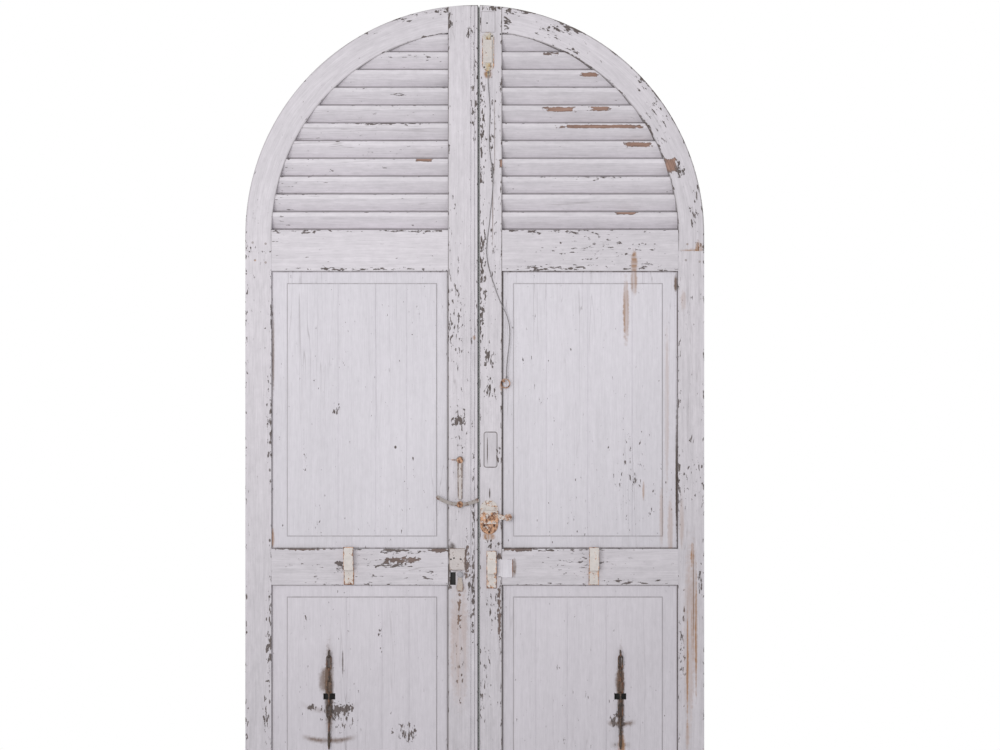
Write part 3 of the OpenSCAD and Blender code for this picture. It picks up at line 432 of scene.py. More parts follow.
def group_weathered_paint():
    """Old paint on a board whose z runs along the grain: tone, cracks, flakes, stains, dirt and painted shade,
    and their relief.
    """
    wires, given, out = new_group(
        "Weathered Paint",
        ("Board", "Paint", "Grey Wood", "Warm Wood", "Rust Stain", "Stain Colour", "Grime Colour", "Wear",
         "Warm", "Rust", "Stain", "Grime", "Height", "Lively"),
        ("Colour", "Roughness", "Height"))
    board = given["Board"]
    cloud = wires.noise(board, (3.1, 3.1, 1.7), 3.0)
    streak = wires.noise(board, (74, 74, 3.0), 3.0, 0.6)
    grain = wires.noise(board, (430, 430, 15), 2.0, 0.6)
    flake = wires.noise(board, (170, 170, 52), 4.0, 0.62, 0.3)
    mottle = wires.noise(board, (95, 95, 42), 3.0, 0.65)
    ridge = wires.noise(board, (44, 44, 1.5), 2.0, 0.5, 0.3)
    patch = wires.noise(board, (8, 8, 1.6), 2.0)

    sway = wires.sway(mottle, 0.28, wires.sway(grain, 0.36, wires.sway(streak, 0.31)))
    tone = wires.math("MULTIPLY_ADD", sway, given["Lively"], wires.sway(cloud, 0.22, 1.0))
    # Darker towards the foot: the tone is 0.8 of itself at 0.2 m up and full at 1.9 m.
    tone = wires.math("MULTIPLY", tone, wires.step(given["Height"], 0.2, 1.9, 0.80, 1.0))
    paint = wires.scaled(given["Paint"], tone)

    crack = wires.fall(wires.math("ABSOLUTE", wires.math("SUBTRACT", ridge, 0.5)), 0.0, 0.010)
    crack = wires.math("MULTIPLY", crack, wires.step(patch, 0.50, 0.66))
    paint = wires.blend(wires.math("MULTIPLY", crack, 0.32), paint, given["Grey Wood"])

    soak = wires.math("MULTIPLY", given["Stain"], wires.step(streak, 0.25, 0.7, 0.5, 0.95), clamp=True)
    paint = wires.blend(soak, paint, given["Stain Colour"])
    # The grime mask holds dirt and also painted shade: lines along outlines, the slats' laps and the panels'
    # margins.
    dirt = wires.math("MULTIPLY", given["Grime"], wires.step(streak, 0.2, 0.7, 0.55, 1.0), clamp=True)
    paint = wires.blend(dirt, paint, given["Grime Colour"])

    level = wires.math("MULTIPLY_ADD", given["Wear"], 0.34, flake)
    chip = wires.step(level, 0.715, 0.735)
    # The thin darker rim round each chip is painted shadow of the broken paint's edge.
    rim = wires.math("SUBTRACT", wires.step(level, 0.69, 0.725), chip, clamp=True)
    wood = wires.blend(given["Warm"], given["Grey Wood"], given["Warm Wood"])
    wood = wires.scaled(wood, wires.step(grain, 0.25, 0.75, 0.62, 1.25))
    surface = wires.blend(wires.math("MULTIPLY", rim, 0.35), paint, given["Grey Wood"])
    surface = wires.blend(chip, surface, wood)

    run = wires.math("MULTIPLY", given["Rust"], wires.step(streak, 0.3, 0.68, 0.25, 1.0), clamp=True)
    wires.put(out["Colour"], wires.blend(run, surface, given["Rust Stain"]))
    dull = wires.step(streak, 0.2, 0.8, 0.48, 0.62)
    wires.put(out["Roughness"], wires.math("MULTIPLY_ADD", chip, 0.28, dull))
    relief = wires.math("MULTIPLY_ADD", chip, -0.55, wires.math("MULTIPLY", grain, 0.10))
    relief = wires.math("MULTIPLY_ADD", streak, 0.25, relief)
    wires.put(out["Height"], wires.math("MULTIPLY_ADD", crack, -0.3, relief))


def group_rusted_iron():
    """Iron whose paint has partly gone over to rust, with its pitting."""
    wires, given, out = new_group(
        "Rusted Iron", ("Place", "Paint", "Light Rust", "Dark Rust", "Rust"),
        ("Colour", "Roughness", "Height"))
    blotch = wires.noise(given["Place"], (75, 75, 75), 4.0, 0.62)
    pits = wires.noise(given["Place"], (420, 420, 420), 3.0, 0.6)
    shade = wires.noise(given["Place"], (160, 160, 110), 3.0, 0.55)
    level = wires.sway(pits, 0.35, blotch)
    cover = wires.step(wires.math("ADD", level, given["Rust"]), 0.94, 1.06)
    rust = wires.blend(wires.step(shade, 0.35, 0.65), given["Dark Rust"], given["Light Rust"])
    rust = wires.scaled(rust, wires.step(pits, 0.2, 0.8, 0.7, 1.25))
    paint = wires.scaled(given["Paint"], wires.step(blotch, 0.2, 0.8, 0.86, 1.08))
    wires.put(out["Colour"], wires.blend(cover, paint, rust))
    wires.put(out["Roughness"], wires.step(cover, 0.0, 1.0, 0.5, 0.82))
    rough = wires.math("MULTIPLY", pits, wires.step(cover, 0.0, 1.0, 0.25, 1.0))
    wires.put(out["Height"], wires.math("MULTIPLY_ADD", cover, -0.25, rough))


def new_material(name):
    """A material with its wiring, its Principled shader and the place on the object."""
    material = bpy.data.materials.new(name)
    material.use_nodes = True
    wires = Wiring(material.node_tree)
    place = wires.add("ShaderNodeTexCoord").outputs["Object"]
    return material, wires, material.node_tree.nodes["Principled BSDF"], place


def feed_shader(wires, shader, surface, roughness, specular, height, depth):
    """Feeds the shader a surface's colour, its roughness and its height as a share of a depth."""
    bump = wires.add("ShaderNodeBump")
    bump.inputs["Strength"].default_value = 1
    bump.inputs["Distance"].default_value = depth
    wires.put(bump.inputs["Height"], height)
    for key, value in (("Base Color", surface), ("Roughness", roughness), ("Specular IOR Level", specular),
                       ("Normal", bump.outputs[0])):
        wires.put(shader.inputs[key], value)


def board_place(wires, place, grain):
    """Turns a place so that z runs along the grain and x across it."""
    if grain == "upright":
        return place
    x, y, z = wires.split(place)
    if grain == "level":
        return wires.join(z, y, x)
    up = wires.math("SUBTRACT", z, SPRING_Z)
    radius = wires.math("SQRT", wires.math("MULTIPLY_ADD", x, x, wires.math("MULTIPLY", up, up)))
    return wires.join(radius, y, wires.math("MULTIPLY", wires.math("ARCTAN2", x, up), ARCH_MEAN))


def painted_wood(name, grain, paint, edges, marks, wear=0.0, dirt=0.0, fields=(), slats=None, scars=(),
                 hollows=(), swings=(), lively=1.0):
    """Weathered paint for one board.

    edges and fields are (low, high, width, strength) boxes on the board, which flake or darken along their
    outlines, with dirt and also painted shade on the panels' margins and the meeting stiles; scars and swings
    are what lost plates and hanging pieces left, hollows are cuts whose insides are painted near-black as
    shade, and slats is the first top and the pitch of a row of slats that share the paint, with a painted
    shadow at each slat's lap.
    """
    colours = bpy.context.scene.shutter_colours
    material, wires, shader, place = new_material(name)
    board = board_place(wires, place, grain)
    ragged = wires.noise(place, (110, 110, 110), 3.0, 0.6)
    smooth = wires.sway(ragged, 0.4, 0.5)
    masks = dict.fromkeys(("wear", "warm", "rust", "stain", "grime", "soot"), 0.0)

    def lay(key, mask, strength=1.0):
        masks[key] = wires.math("MULTIPLY_ADD", mask, strength, masks[key])

    for kind, rows in marks.items():
        for row in rows:
            x, z, half_x, half_z = (value / 1000 for value in row)
            mask = wires.group(
                "Wear Mark", place=place, centre=(x, 0, z), half=(half_x, 1, half_z),
                ragged=ragged if kind in RAGGED else smooth, square=0.85 if kind == "bare" else 0.0)["Mask"]
            for key, strength in EFFECTS[kind].items():
                lay(key, mask, strength)
    for low, high, width, strength in edges:
        band = wires.group("Board Edges", board=board, low=low, high=high, width=width)["Band"]
        lay("wear", band, strength)
        # The dirt value darkens a band along the outline as dirt and painted shade of the recessed margin.
        if dirt:
            lay("grime", band, dirt)
    # Fields darken a thin line along their outlines; on the panels and meeting stiles it is painted shade with
    # some dirt.
    for low, high, width, strength in fields:
        lay("grime", wires.group("Board Edges", board=board, low=low, high=high, width=width)["Line"], strength)
    for centre, half, corner, outline, inside in scars:
        scar = wires.group("Plate Scar", place=place, centre=centre, half=half, round=corner, width=0.0022)
        lay("grime", scar["Outline"], outline)
        lay("grime", scar["Inside"], inside)
    for centre, radius, reach, strength in swings:
        swing = wires.group("Swing Scar", place=place, centre=centre, radius=radius, reach=reach, width=0.0105,
                            ragged=ragged)["Mask"]
        lay("stain", swing, strength)
        lay("wear", swing, 0.25)
    # The inside of each hollow is painted near-black as shade.
    for centre, half in hollows:
        off = wires.vector("ABSOLUTE", wires.vector("SUBTRACT", place, centre))
        x, y, z = wires.split(wires.vector("SUBTRACT", half, off))
        deep = wires.math("MINIMUM", wires.math("MINIMUM", x, z), y)
        lay("soot", wires.step(deep, -0.0002, 0.0002))
    if slats:
        top, pitch = slats
        below = wires.math("WRAP", wires.math("SUBTRACT", top, wires.split(place)[2]), pitch, 0.0)
        lay("wear", wires.fall(below, 0.0, 0.004), 0.30)
        # A dark band at each slat's foot, where it laps behind the nose below, is painted shadow with some
        # dirt.
        lay("grime", wires.step(below, pitch * 0.84, pitch * 0.90), 0.52)
    if wear:
        lay("wear", wires.step(wires.noise(place, (2.3, 2.3, 2.3), 2.0), 0.45, 0.75), wear)
    soot = masks.pop("soot")
    painted = wires.group(
        "Weathered Paint", board=board, height=wires.split(place)[2], lively=lively, paint=paint,
        grey_wood=colours.grey_wood, warm_wood=colours.warm_wood, rust_stain=colours.rust_stain,
        stain_colour=colours.stain, grime_colour=colours.grime, **masks)
    surface = wires.blend(soot, painted["Colour"], PAINTED_SHADE_BLACK) if hollows else painted["Colour"]
    feed_shader(wires, shader, surface, painted["Roughness"], 0.3, painted["Height"], 0.0009)
    return material


def rusted_iron(name, paint, rust, metallic=0.0, light=None, dark=None, foot=None, edges=()):
    """Iron under old paint, partly gone over to rust.

    foot is (height, rust) for the part below it; edges are (low, high) boxes that rust creeps into, and whose
    darker outlines also paint the shade at the pieces' edges.
    """
    colours = bpy.context.scene.shutter_colours
    material, wires, shader, place = new_material(name)
    if foot:
        rust = wires.step(wires.split(place)[2], foot[0] - 0.004, foot[0] + 0.004, foot[1], rust)
    # Darker lines along each box's outline: rust, and painted shade at the pieces' edges.
    for low, high in edges:
        line = wires.group("Board Edges", board=place, low=low, high=high, width=0.0032)["Line"]
        rust = wires.math("MULTIPLY_ADD", line, 0.30, rust)
    iron = wires.group(
        "Rusted Iron", place=place, paint=paint, light_rust=light or colours.light_rust,
        dark_rust=dark or colours.dark_rust, rust=rust)
    shader.inputs["Metallic"].default_value = metallic
    feed_shader(wires, shader, iron["Colour"], iron["Roughness"], 0.35, iron["Height"], 0.0005)
    return material


def finish_with(material, *names):
    """Gives CAD nodes a material in all their slots."""
    for name in names:
        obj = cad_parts[name]
        if not obj.material_slots:
            obj.data.materials.append(material)
        for slot in obj.material_slots:
            slot.material = material


def soften(width, *names):
    """Rounds the edges of CAD nodes over their flat faces."""
    for name in names:
        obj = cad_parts[name]
        weld = obj.modifiers.new("Weld", "WELD")
        weld.merge_threshold = 0.00001
        flats = obj.modifiers.new("Flats", "DECIMATE")
        flats.decimate_type = "DISSOLVE"
        flats.angle_limit = math.radians(0.5)
        arris = obj.modifiers.new("Arris", "BEVEL")
        arris.width = width
        arris.segments = 2
        arris.limit_method = "ANGLE"
        arris.angle_limit = math.radians(30)


def dress_iron(material, *names):
    """Gives ironwork its finish and rounds its edges."""
    finish_with(material, *names)
    soften(bpy.context.scene.shutter_sizes.iron_arris, *names)


def paint_board(scene, name, grain, edges, **options):
    """Paints and rounds one board of the leaves' frames."""
    paint = painted_wood(
        f"{name}_paint", grain, scene.shutter_colours.frame_paint, edges, MARKS.get(name, {}), **options)
    finish_with(paint, name)
    soften(scene.shutter_sizes.wood_arris, name)


def lathe(bm, profile, matrix):
    """Turns (radius, height) pairs about the matrix's z axis; the ends lie on the axis."""
    segments = 20
    rings = []
    for radius, height in profile:
        turns = [0.0] if radius == 0 else [math.tau * i / segments for i in range(segments)]
        rings.append([
            bm.verts.new(matrix @ Vector((radius * math.cos(a), radius * math.sin(a), height))) for a in turns])
    for first, second in zip(rings, rings[1:]):
        for i in range(segments):
            j = (i + 1) % segments
            corners = [ring[k % len(ring)] for ring, k in ((first, i), (first, j), (second, j), (second, i))]
            bm.faces.new(list(dict.fromkeys(corners)))


def bridge(bm, rings):
    """Joins closed rings that have as many vertices, one after another."""
    for first, second in zip(rings, rings[1:]):
        for i in range(len(first)):
            j = (i + 1) % len(first)
            bm.faces.new((first[i], first[j], second[j], second[i]))


def tube(bm, points, radius, sides):
    """A round wire along points, with closed ends."""
    points = [Vector(p) for p in points]
    turns = [math.tau * s / sides for s in range(sides)]
    rings = []
    side = None
    for i, point in enumerate(points):
        along = (points[min(i + 1, len(points) - 1)] - points[max(i - 1, 0)]).normalized()
        if side is None:
            side = along.orthogonal().normalized()
        side = (side - along * side.dot(along)).normalized()
        up = along.cross(side)
        rings.append([bm.verts.new(point + radius * (math.cos(a) * side + math.sin(a) * up)) for a in turns])
    bridge(bm, rings)
    bm.faces.new(reversed(rings[0]))
    bm.faces.new(rings[-1])


def slotted_head(bm, matrix, radius, turn):
    """A screw head with its slot, turned about the matrix's z axis."""
    matrix = matrix @ Matrix.Rotation(turn, 4, "Z")
    lathe(bm, [(0, -0.001), (radius * 0.9, -0.001), (radius * 0.98, 0.0002), (0, 0.0002)], matrix)
    half_slot = radius * 0.14
    start = math.asin(half_slot / radius)
    steps = 12
    for side in (1, -1):
        rings = []
        for scale, height in ((1.0, 0.0), (1.0, 0.0005), (0.85, 0.0010), (0.5, 0.0013)):
            ring = []
            for i in range(steps + 1):
                a = start + (math.pi - 2 * start) * i / steps
                y = max(half_slot, radius * scale * math.sin(a))
                corner = Vector((side * radius * scale * math.cos(a), side * y, height))
                ring.append(bm.verts.new(matrix @ corner))
            rings.append(ring)
        bridge(bm, rings)
        bm.faces.new(rings[-1])


def domed_head(bm, matrix, radius, height):
    """A low domed head of a bolt or nail."""
    lathe(bm, [(0, -0.0005), (radius, -0.0005), (radius, height * 0.35), (radius * 0.82, height * 0.78),
               (radius * 0.45, height), (0, height)], matrix)


def new_piece(name, bm, material, body):
    """Makes a mesh piece that rides on a body and takes its finish from a slot."""
    bmesh.ops.recalc_face_normals(bm, faces=bm.faces)
    mesh = bpy.data.meshes.new(name)
    bm.to_mesh(mesh)
    bm.free()
    mesh.shade_smooth()
    mesh.set_sharp_from_angle(angle=math.radians(40))
    mesh.materials.append(material)
    obj = bpy.data.objects.new(name, mesh)
    bpy.context.scene.collection.objects.link(obj)
    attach(obj, body)
    return obj


def at_front(x, z, y=LEAF_FRONT):
    return Matrix.Translation((x, y, z)) @ FRONT


def add_screws(name, places, plate, material, body):
    """Screw heads on a plate of a given thickness, each at (x, z) and turned."""
    radius = bpy.context.scene.shutter_sizes.screw_radius
    bm = bmesh.new()
    for x, z, turn in places:
        slotted_head(bm, at_front(x, z, LEAF_FRONT - plate), radius, turn)
    new_piece(name, bm, material, body)


def add_nails(name, places, radius, height, material, body):
    """Low nail heads on the front, each at (x, z)."""
    bm = bmesh.new()
    for x, z in places:
        domed_head(bm, at_front(x, z), radius, height)
    new_piece(name, bm, material, body)


def smooth_route(points, steps):
    """A smooth curve through points, as in the part's source but finer."""
    points = [Vector(p) for p in points]
    last = len(points) - 1
    route = []
    for i in range(last):
        a, b, c, d = points[max(i - 1, 0)], points[i], points[i + 1], points[min(i + 2, last)]
        for s in range(steps):
            f = s / steps
            bend = 2 * a - 5 * b + 4 * c - d + f * (3 * b - a - 3 * c + d)
            route.append(b + f / 2 * ((c - a) + f * bend))
    return route + [points[last]]


class SHUTTER_OT_stage(bpy.types.Operator):
    """Make the camera, the soft lamp, the white surroundings and the pale floor"""

    bl_idname = "shutter.stage"
    bl_label = "Stage"

    def execute(self, context):
        scene = context.scene
        stage = scene.shutter_stage
        colours = scene.shutter_colours
        scene.view_settings.view_transform = "Standard"
        self.make_camera(scene, stage)
        self.make_lamps(scene, stage)
        self.make_surround(scene, stage)
        self.make_floor(scene, colours)
        return {"FINISHED"}

    def make_camera(self, scene, stage):
        data = bpy.data.cameras.new("photo_camera")
        camera = bpy.data.objects.new("photo_camera", data)
        scene.collection.objects.link(camera)
        camera.location = (stage.camera_x, -stage.camera_distance, stage.camera_z)
        camera.rotation_euler = (math.radians(90), 0, 0)
        data.sensor_width = 36
        data.lens = data.sensor_width * (stage.camera_distance + LEAF_FRONT) / stage.view_width
        data.clip_end = 50
        scene.camera = camera

    def make_lamps(self, scene, stage):
        data = bpy.data.lights.new("soft_key", "AREA")
        data.shape = "RECTANGLE"
        data.size = 2.6
        data.size_y = 2.2
        data.energy = stage.key_power
        lamp = bpy.data.objects.new("soft_key", data)
        scene.collection.objects.link(lamp)
        lamp.location = (-1.0, -4.4, 1.6)
        aim = Vector((0, 0, 1.35))
        lamp.rotation_euler = (aim - lamp.location).to_track_quat("-Z", "Y").to_euler()

    def make_surround(self, scene, stage):
        world = bpy.data.worlds.new("surround")
        scene.world = world
        world.use_nodes = True
        wires = Wiring(world.node_tree)
        seen = world.node_tree.nodes["Background"]
        seen.inputs["Color"].default_value = (1, 1, 1, 1)
        seen.inputs["Strength"].default_value = 1
        light = wires.add("ShaderNodeBackground", (1, 1, 1, 1), stage.surround)
        path = wires.add("ShaderNodeLightPath").outputs
        shown = wires.math("MAXIMUM", path["Is Camera Ray"], path["Is Glossy Ray"])
        shown = wires.math("MAXIMUM", shown, path["Is Transmission Ray"])
        mixed = wires.add("ShaderNodeMixShader", shown, light.outputs[0], seen.outputs[0])
        wires.put(world.node_tree.nodes["World Output"].inputs["Surface"], mixed.outputs[0])

    def make_floor(self, scene, colours):
        bm = bmesh.new()
        bmesh.ops.create_circle(bm, cap_ends=True, segments=96, radius=2.0)
        mesh = bpy.data.meshes.new("floor")
        bm.to_mesh(mesh)
        bm.free()
        material, wires, shader, place = new_material("pale_floor")
        shader.inputs["Base Color"].default_value = (*colours.floor, 1)
        shader.inputs["Roughness"].default_value = 0.9
        shader.inputs["Specular IOR Level"].default_value = 0.1
        clear = wires.add("ShaderNodeBsdfTransparent")
        fade = wires.step(wires.vector("LENGTH", place), 1.1, 1.95)
        mixed = wires.add("ShaderNodeMixShader", fade, shader.outputs[0], clear.outputs[0])
        wires.put(material.node_tree.nodes["Material Output"].inputs["Surface"], mixed.outputs[0])
        mesh.materials.append(material)
        floor = bpy.data.objects.new("floor", mesh)
        floor.location.z = CAD_BOX[0].z - 0.0005
        scene.collection.objects.link(floor)


class SHUTTER_OT_pull_cord(bpy.types.Operator):
    """Lay the latch's twisted pull cord, with its two knots"""

    bl_idname = "shutter.pull_cord"
    bl_label = "Pull cord"

    def execute(self, context):
        sizes = context.scene.shutter_sizes
        material = self.make_twine(context.scene.shutter_colours)
        route = smooth_route(CORD_ROUTE, 20)
        radius = sizes.cord_diameter / 2
        strand_radius = radius * 0.54
        bm = bmesh.new()
        for strand in range(3):
            points = []
            gone = 0.0
            for i, point in enumerate(route):
                along = (route[min(i + 1, len(route) - 1)] - route[max(i - 1, 0)]).normalized()
                gone += (point - route[max(i - 1, 0)]).length
                side = along.cross(Vector((0, 1, 0))).normalized()
                turn = math.tau * (gone / sizes.strand_pitch + strand / 3)
                off = math.cos(turn) * side + math.sin(turn) * along.cross(side)
                points.append(point + (radius - strand_radius) * off)
            tube(bm, points, strand_radius, 6)
        cord = new_piece("pull_cord", bm, material, "right_leaf")
        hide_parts("latch_cord")
        knots = self.make_knots(route, radius, material)
        return {"FINISHED"}

    def make_twine(self, colours):
        material, wires, shader, place = new_material("weathered_twine")
        fibre = wires.noise(place, (900, 900, 260), 3.0, 0.6)
        worn = wires.noise(place, (40, 40, 14), 2.0)
        twine = wires.scaled(colours.cord, wires.step(fibre, 0.25, 0.75, 0.72, 1.18))
        twine = wires.blend(wires.step(worn, 0.5, 0.75, 0.0, 0.5), twine, (*colours.grime, 1))
        feed_shader(wires, shader, twine, wires.step(fibre, 0.2, 0.8, 0.8, 0.95), 0.5, fibre, 0.0003)
        return material

    def make_knots(self, route, radius, material):
        bm = bmesh.new()
        turns, steps = 3, 72
        for foot, lift, out in ((route[-1], 0.0012, 0.0), (route[0], -0.0026, 0.0012)):
            coil = []
            for i in range(steps + 1):
                turn = math.tau * turns * i / steps
                reach = radius * (1.35 + 0.25 * math.sin(math.pi * i / steps))
                coil.append(foot + Vector((
                    reach * math.cos(turn), reach * math.sin(turn) - out, lift + 0.0045 * i / steps)))
            tube(bm, coil, radius * 0.5, 6)
        return new_piece("cord_knots", bm, material, "right_leaf")


class SHUTTER_OT_stiles(bpy.types.Operator):
    """Paint and round the outer and meeting stiles"""

    bl_idname = "shutter.stiles"
    bl_label = "Stiles"

    def execute(self, context):
        lost_catch = ((0.0413, 0, 1.2105), (0.017, 1, 0.046), 0.006, 1.0, 0.10)
        lost_plate = ((0.035, 0, 2.329), (0.018, 1, 0.027), 0.002, 0.45, 0.0)
        # The meeting edges, a narrow band of the fronts beside them and the left mortise are painted near-black
        # as shade.
        gap = ((0.0098, 0, 1.19), (0.0040, 0.0138, 1.20))
        gap_front = ((0.0098, 0, 1.19), (0.0027, 0.0175, 1.20))
        mortise = ((-0.057, -0.0115, 0.8735), (0.0072, 0.0054, 0.0167))
        flaking = {"left": 0.26, "right": 0.42}
        scars = {"left": [], "right": [lost_catch, lost_plate]}
        hollows = {"left": [gap, gap_front, mortise], "right": [gap, gap_front]}
        for side in SIDES:
            name = f"{side}_outer_stile"
            paint_board(context.scene, name, "upright", [(*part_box(name), 0.011, 0.28)], wear=0.30)
            name = f"{side}_meeting_stile"
            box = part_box(name)
            # Each meeting stile's outline gets a dark line of painted shade, with some dirt.
            paint_board(context.scene, name, "upright", [(*box, 0.011, flaking[side])], wear=0.30,
                        scars=scars[side], hollows=hollows[side], fields=[(*box, 0.0034, 0.95)])
        return {"FINISHED"}


class SHUTTER_OT_rails(bpy.types.Operator):
    """Paint and round the transom, lock and bottom rails"""

    bl_idname = "shutter.rails"
    bl_label = "Rails"

    def execute(self, context):
        for side in SIDES:
            for part in ("transom_rail", "lock_rail", "bottom_rail"):
                name = f"{side}_{part}"
                low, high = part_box(name)
                edge = ((low.z, low.y, low.x), (high.z, high.y, high.x), 0.010, 0.26)
                paint_board(context.scene, name, "level", [edge], wear=0.26)
        return {"FINISHED"}


class SHUTTER_OT_arch_heads(bpy.types.Operator):
    """Paint and round the two arch heads, with the grain along their curve"""

    bl_idname = "shutter.arch_heads"
    bl_label = "Arch heads"

    def execute(self, context):
        low, high = (ARCH_IN, 0, -2), (CAD_BOX[1].x, 0, 2)
        for side, flaking, wear, rim in (("left", 0.24, 0.10, 0.35), ("right", 0.46, 0.18, 0.70)):
            paint_board(context.scene, f"{side}_arch_head", "arch", [(low, high, 0.007, flaking)], wear=wear,
                        fields=[(low, high, 0.0042, rim)])
        return {"FINISHED"}


class SHUTTER_OT_panels(bpy.types.Operator):
    """Paint the upper and lower panels, with dirt and painted shade along their margins"""

    bl_idname = "shutter.panels"
    bl_label = "Panels"

    def execute(self, context):
        colours = context.scene.shutter_colours
        swings = {
            "left": (((-0.381, 0, 0.684), 0.236, 0.080, 1.0), ((-0.381, 0, 0.684), 0.158, 0.085, 0.35)),
            "right": (((0.383, 0, 0.676), 0.184, 0.042, 1.0), ((0.383, 0, 0.676), 0.240, 0.030, 0.4)),
        }
        paints = {"upper_panel": colours.panel_paint, "lower_panel": colours.foot_paint}
        margins = {"left": (0.051, 0.040), "right": (0.040, 0.051)}
        end_margin = 0.043
        tongue = Vector((0.010, 0, 0.010))
        # The third value of each row darkens the panel's outline against the frame, as painted shade with some
        # dirt.
        for side, sign, sight_line_shade in (("left", -1, 0.65), ("right", 1, 0.95)):
            # The inside of each lower panel's slot is painted near-black as shade.
            slot = ((sign * 0.381, -0.0020, 0.564), (0.0156, 0.0087, 0.0081))
            first, second = (Vector((margin, 0, end_margin)) for margin in margins[side])
            for part, coat in paints.items():
                name = f"{side}_{part}"
                low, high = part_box(name)
                # The field's line is dirt and painted shade at the step round the raised field.
                field = (low + first, high - second, 0.0023, 0.55)
                low, high = low + tongue, high - tongue
                lower = part == "lower_panel"
                paint = painted_wood(
                    f"{name}_paint", "upright", coat, [(low, high, 0.006, 0.25)], MARKS[name],
                    wear=0.16, dirt=0.15, fields=[field, (low, high, 0.0055, sight_line_shade)],
                    hollows=[slot] if lower else [], swings=swings[side] if lower else [], lively=0.6)
                finish_with(paint, name)
        return {"FINISHED"}


class SHUTTER_OT_slats(bpy.types.Operator):
    """Paint and round the louvre slats"""

    bl_idname = "shutter.slats"
    bl_label = "Louvre slats"

    def execute(self, context):
        colours = context.scene.shutter_colours
        for side in SIDES:
            names = [f"{side}_slat_{k:02d}" for k in range(1, SLATS + 1)]
            tops = [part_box(name)[1].z for name in names]
            paint = painted_wood(
                f"{side}_slat_paint", "level", colours.slat_paint, [], MARKS[f"{side}_slats"], wear=0.26,
                slats=(tops[0], tops[1] - tops[0]))
            finish_with(paint, *names)
            soften(context.scene.shutter_sizes.slat_arris, *names)
        return {"FINISHED"}


class SHUTTER_OT_hinges(bpy.types.Operator):
    """Finish the strap hinges and pintles, and bolt the straps to the leaves"""

    bl_idname = "shutter.hinges"
    bl_label = "Hinges"

    def execute(self, context):
        colours = context.scene.shutter_colours
        sizes = context.scene.shutter_sizes
        iron = rusted_iron("hinge_iron", colours.dark_iron, 0.36, metallic=0.25)
        for side in SIDES:
            dress_iron(iron, f"{side}_hinge_straps", f"{side}_pintles")
            pin_x, foot_z = 0.586, 0.090
            sign = -1 if side == "left" else 1
            bm = bmesh.new()
            rails = [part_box(f"{side}_{part}") for part in ("lock_rail", "transom_rail")]
            for z in (foot_z, *((low.z + high.z) / 2 for low, high in rails)):
                for reach in (0.105, 0.215, 0.330):
                    place = Matrix.Translation((sign * (pin_x - reach), STRAP - LEAF_FRONT, z)) @ BACK
                    domed_head(bm, place, sizes.bolt_radius, 0.0045)
            new_piece(f"{side}_hinge_bolts", bm, iron, f"{side}_leaf")
        return {"FINISHED"}


class SHUTTER_OT_latch(bpy.types.Operator):
    """Finish the spring latch, its ring and its nail, and screw its plate"""

    bl_idname = "shutter.latch"
    bl_label = "Spring latch"

    def execute(self, context):
        colours = context.scene.shutter_colours
        cream = rusted_iron("latch_cream_paint", colours.iron_paint, 0.34, foot=(2.212, 0.47),
                            edges=[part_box("latch_plate")])
        rust = rusted_iron("latch_rust", srgb(206, 196, 176), 0.50, light=srgb(204, 172, 124))
        dress_iron(cream, "latch_plate")
        dress_iron(rust, "latch_bolt")
        finish_with(rusted_iron("ring_rust", srgb(186, 170, 162), 0.56), "pull_ring", "ring_nail")
        low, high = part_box("latch_plate")
        x = (low.x + high.x) / 2
        inset = 0.0103
        screws = ((x - inset, high.z - inset, 0.6), (x + inset, low.z + inset, 1.9))
        add_screws("latch_screws", screws, PLATE, cream, "right_leaf")
        return {"FINISHED"}


class SHUTTER_OT_rim_bolt(bpy.types.Operator):
    """Finish the rusted rim bolt and its plate, and screw the plate"""

    bl_idname = "shutter.rim_bolt"
    bl_label = "Rim bolt"

    def execute(self, context):
        colours = context.scene.shutter_colours
        rust = rusted_iron("rim_bolt_rust", colours.iron_paint, 0.45, foot=(1.047, 0.56))
        dress_iron(rust, "rim_bolt_plate")
        worn = rusted_iron("rim_bolt_worn_paint", colours.iron_paint, 0.47, light=srgb(194, 156, 134))
        dress_iron(worn, "rim_bolt")
        low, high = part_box("rim_bolt_plate")
        x, z = (low.x + high.x) / 2, (low.z + high.z) / 2
        holes = ((-0.0131, 0.0229, 0.3), (0, 0.0386, 1.2), (0.0131, 0.0229, 2.4))
        screws = [(x + off, z + up, turn) for off, up, turn in holes]
        add_screws("rim_bolt_screws", screws, PLATE, rust, "right_leaf")
        return {"FINISHED"}


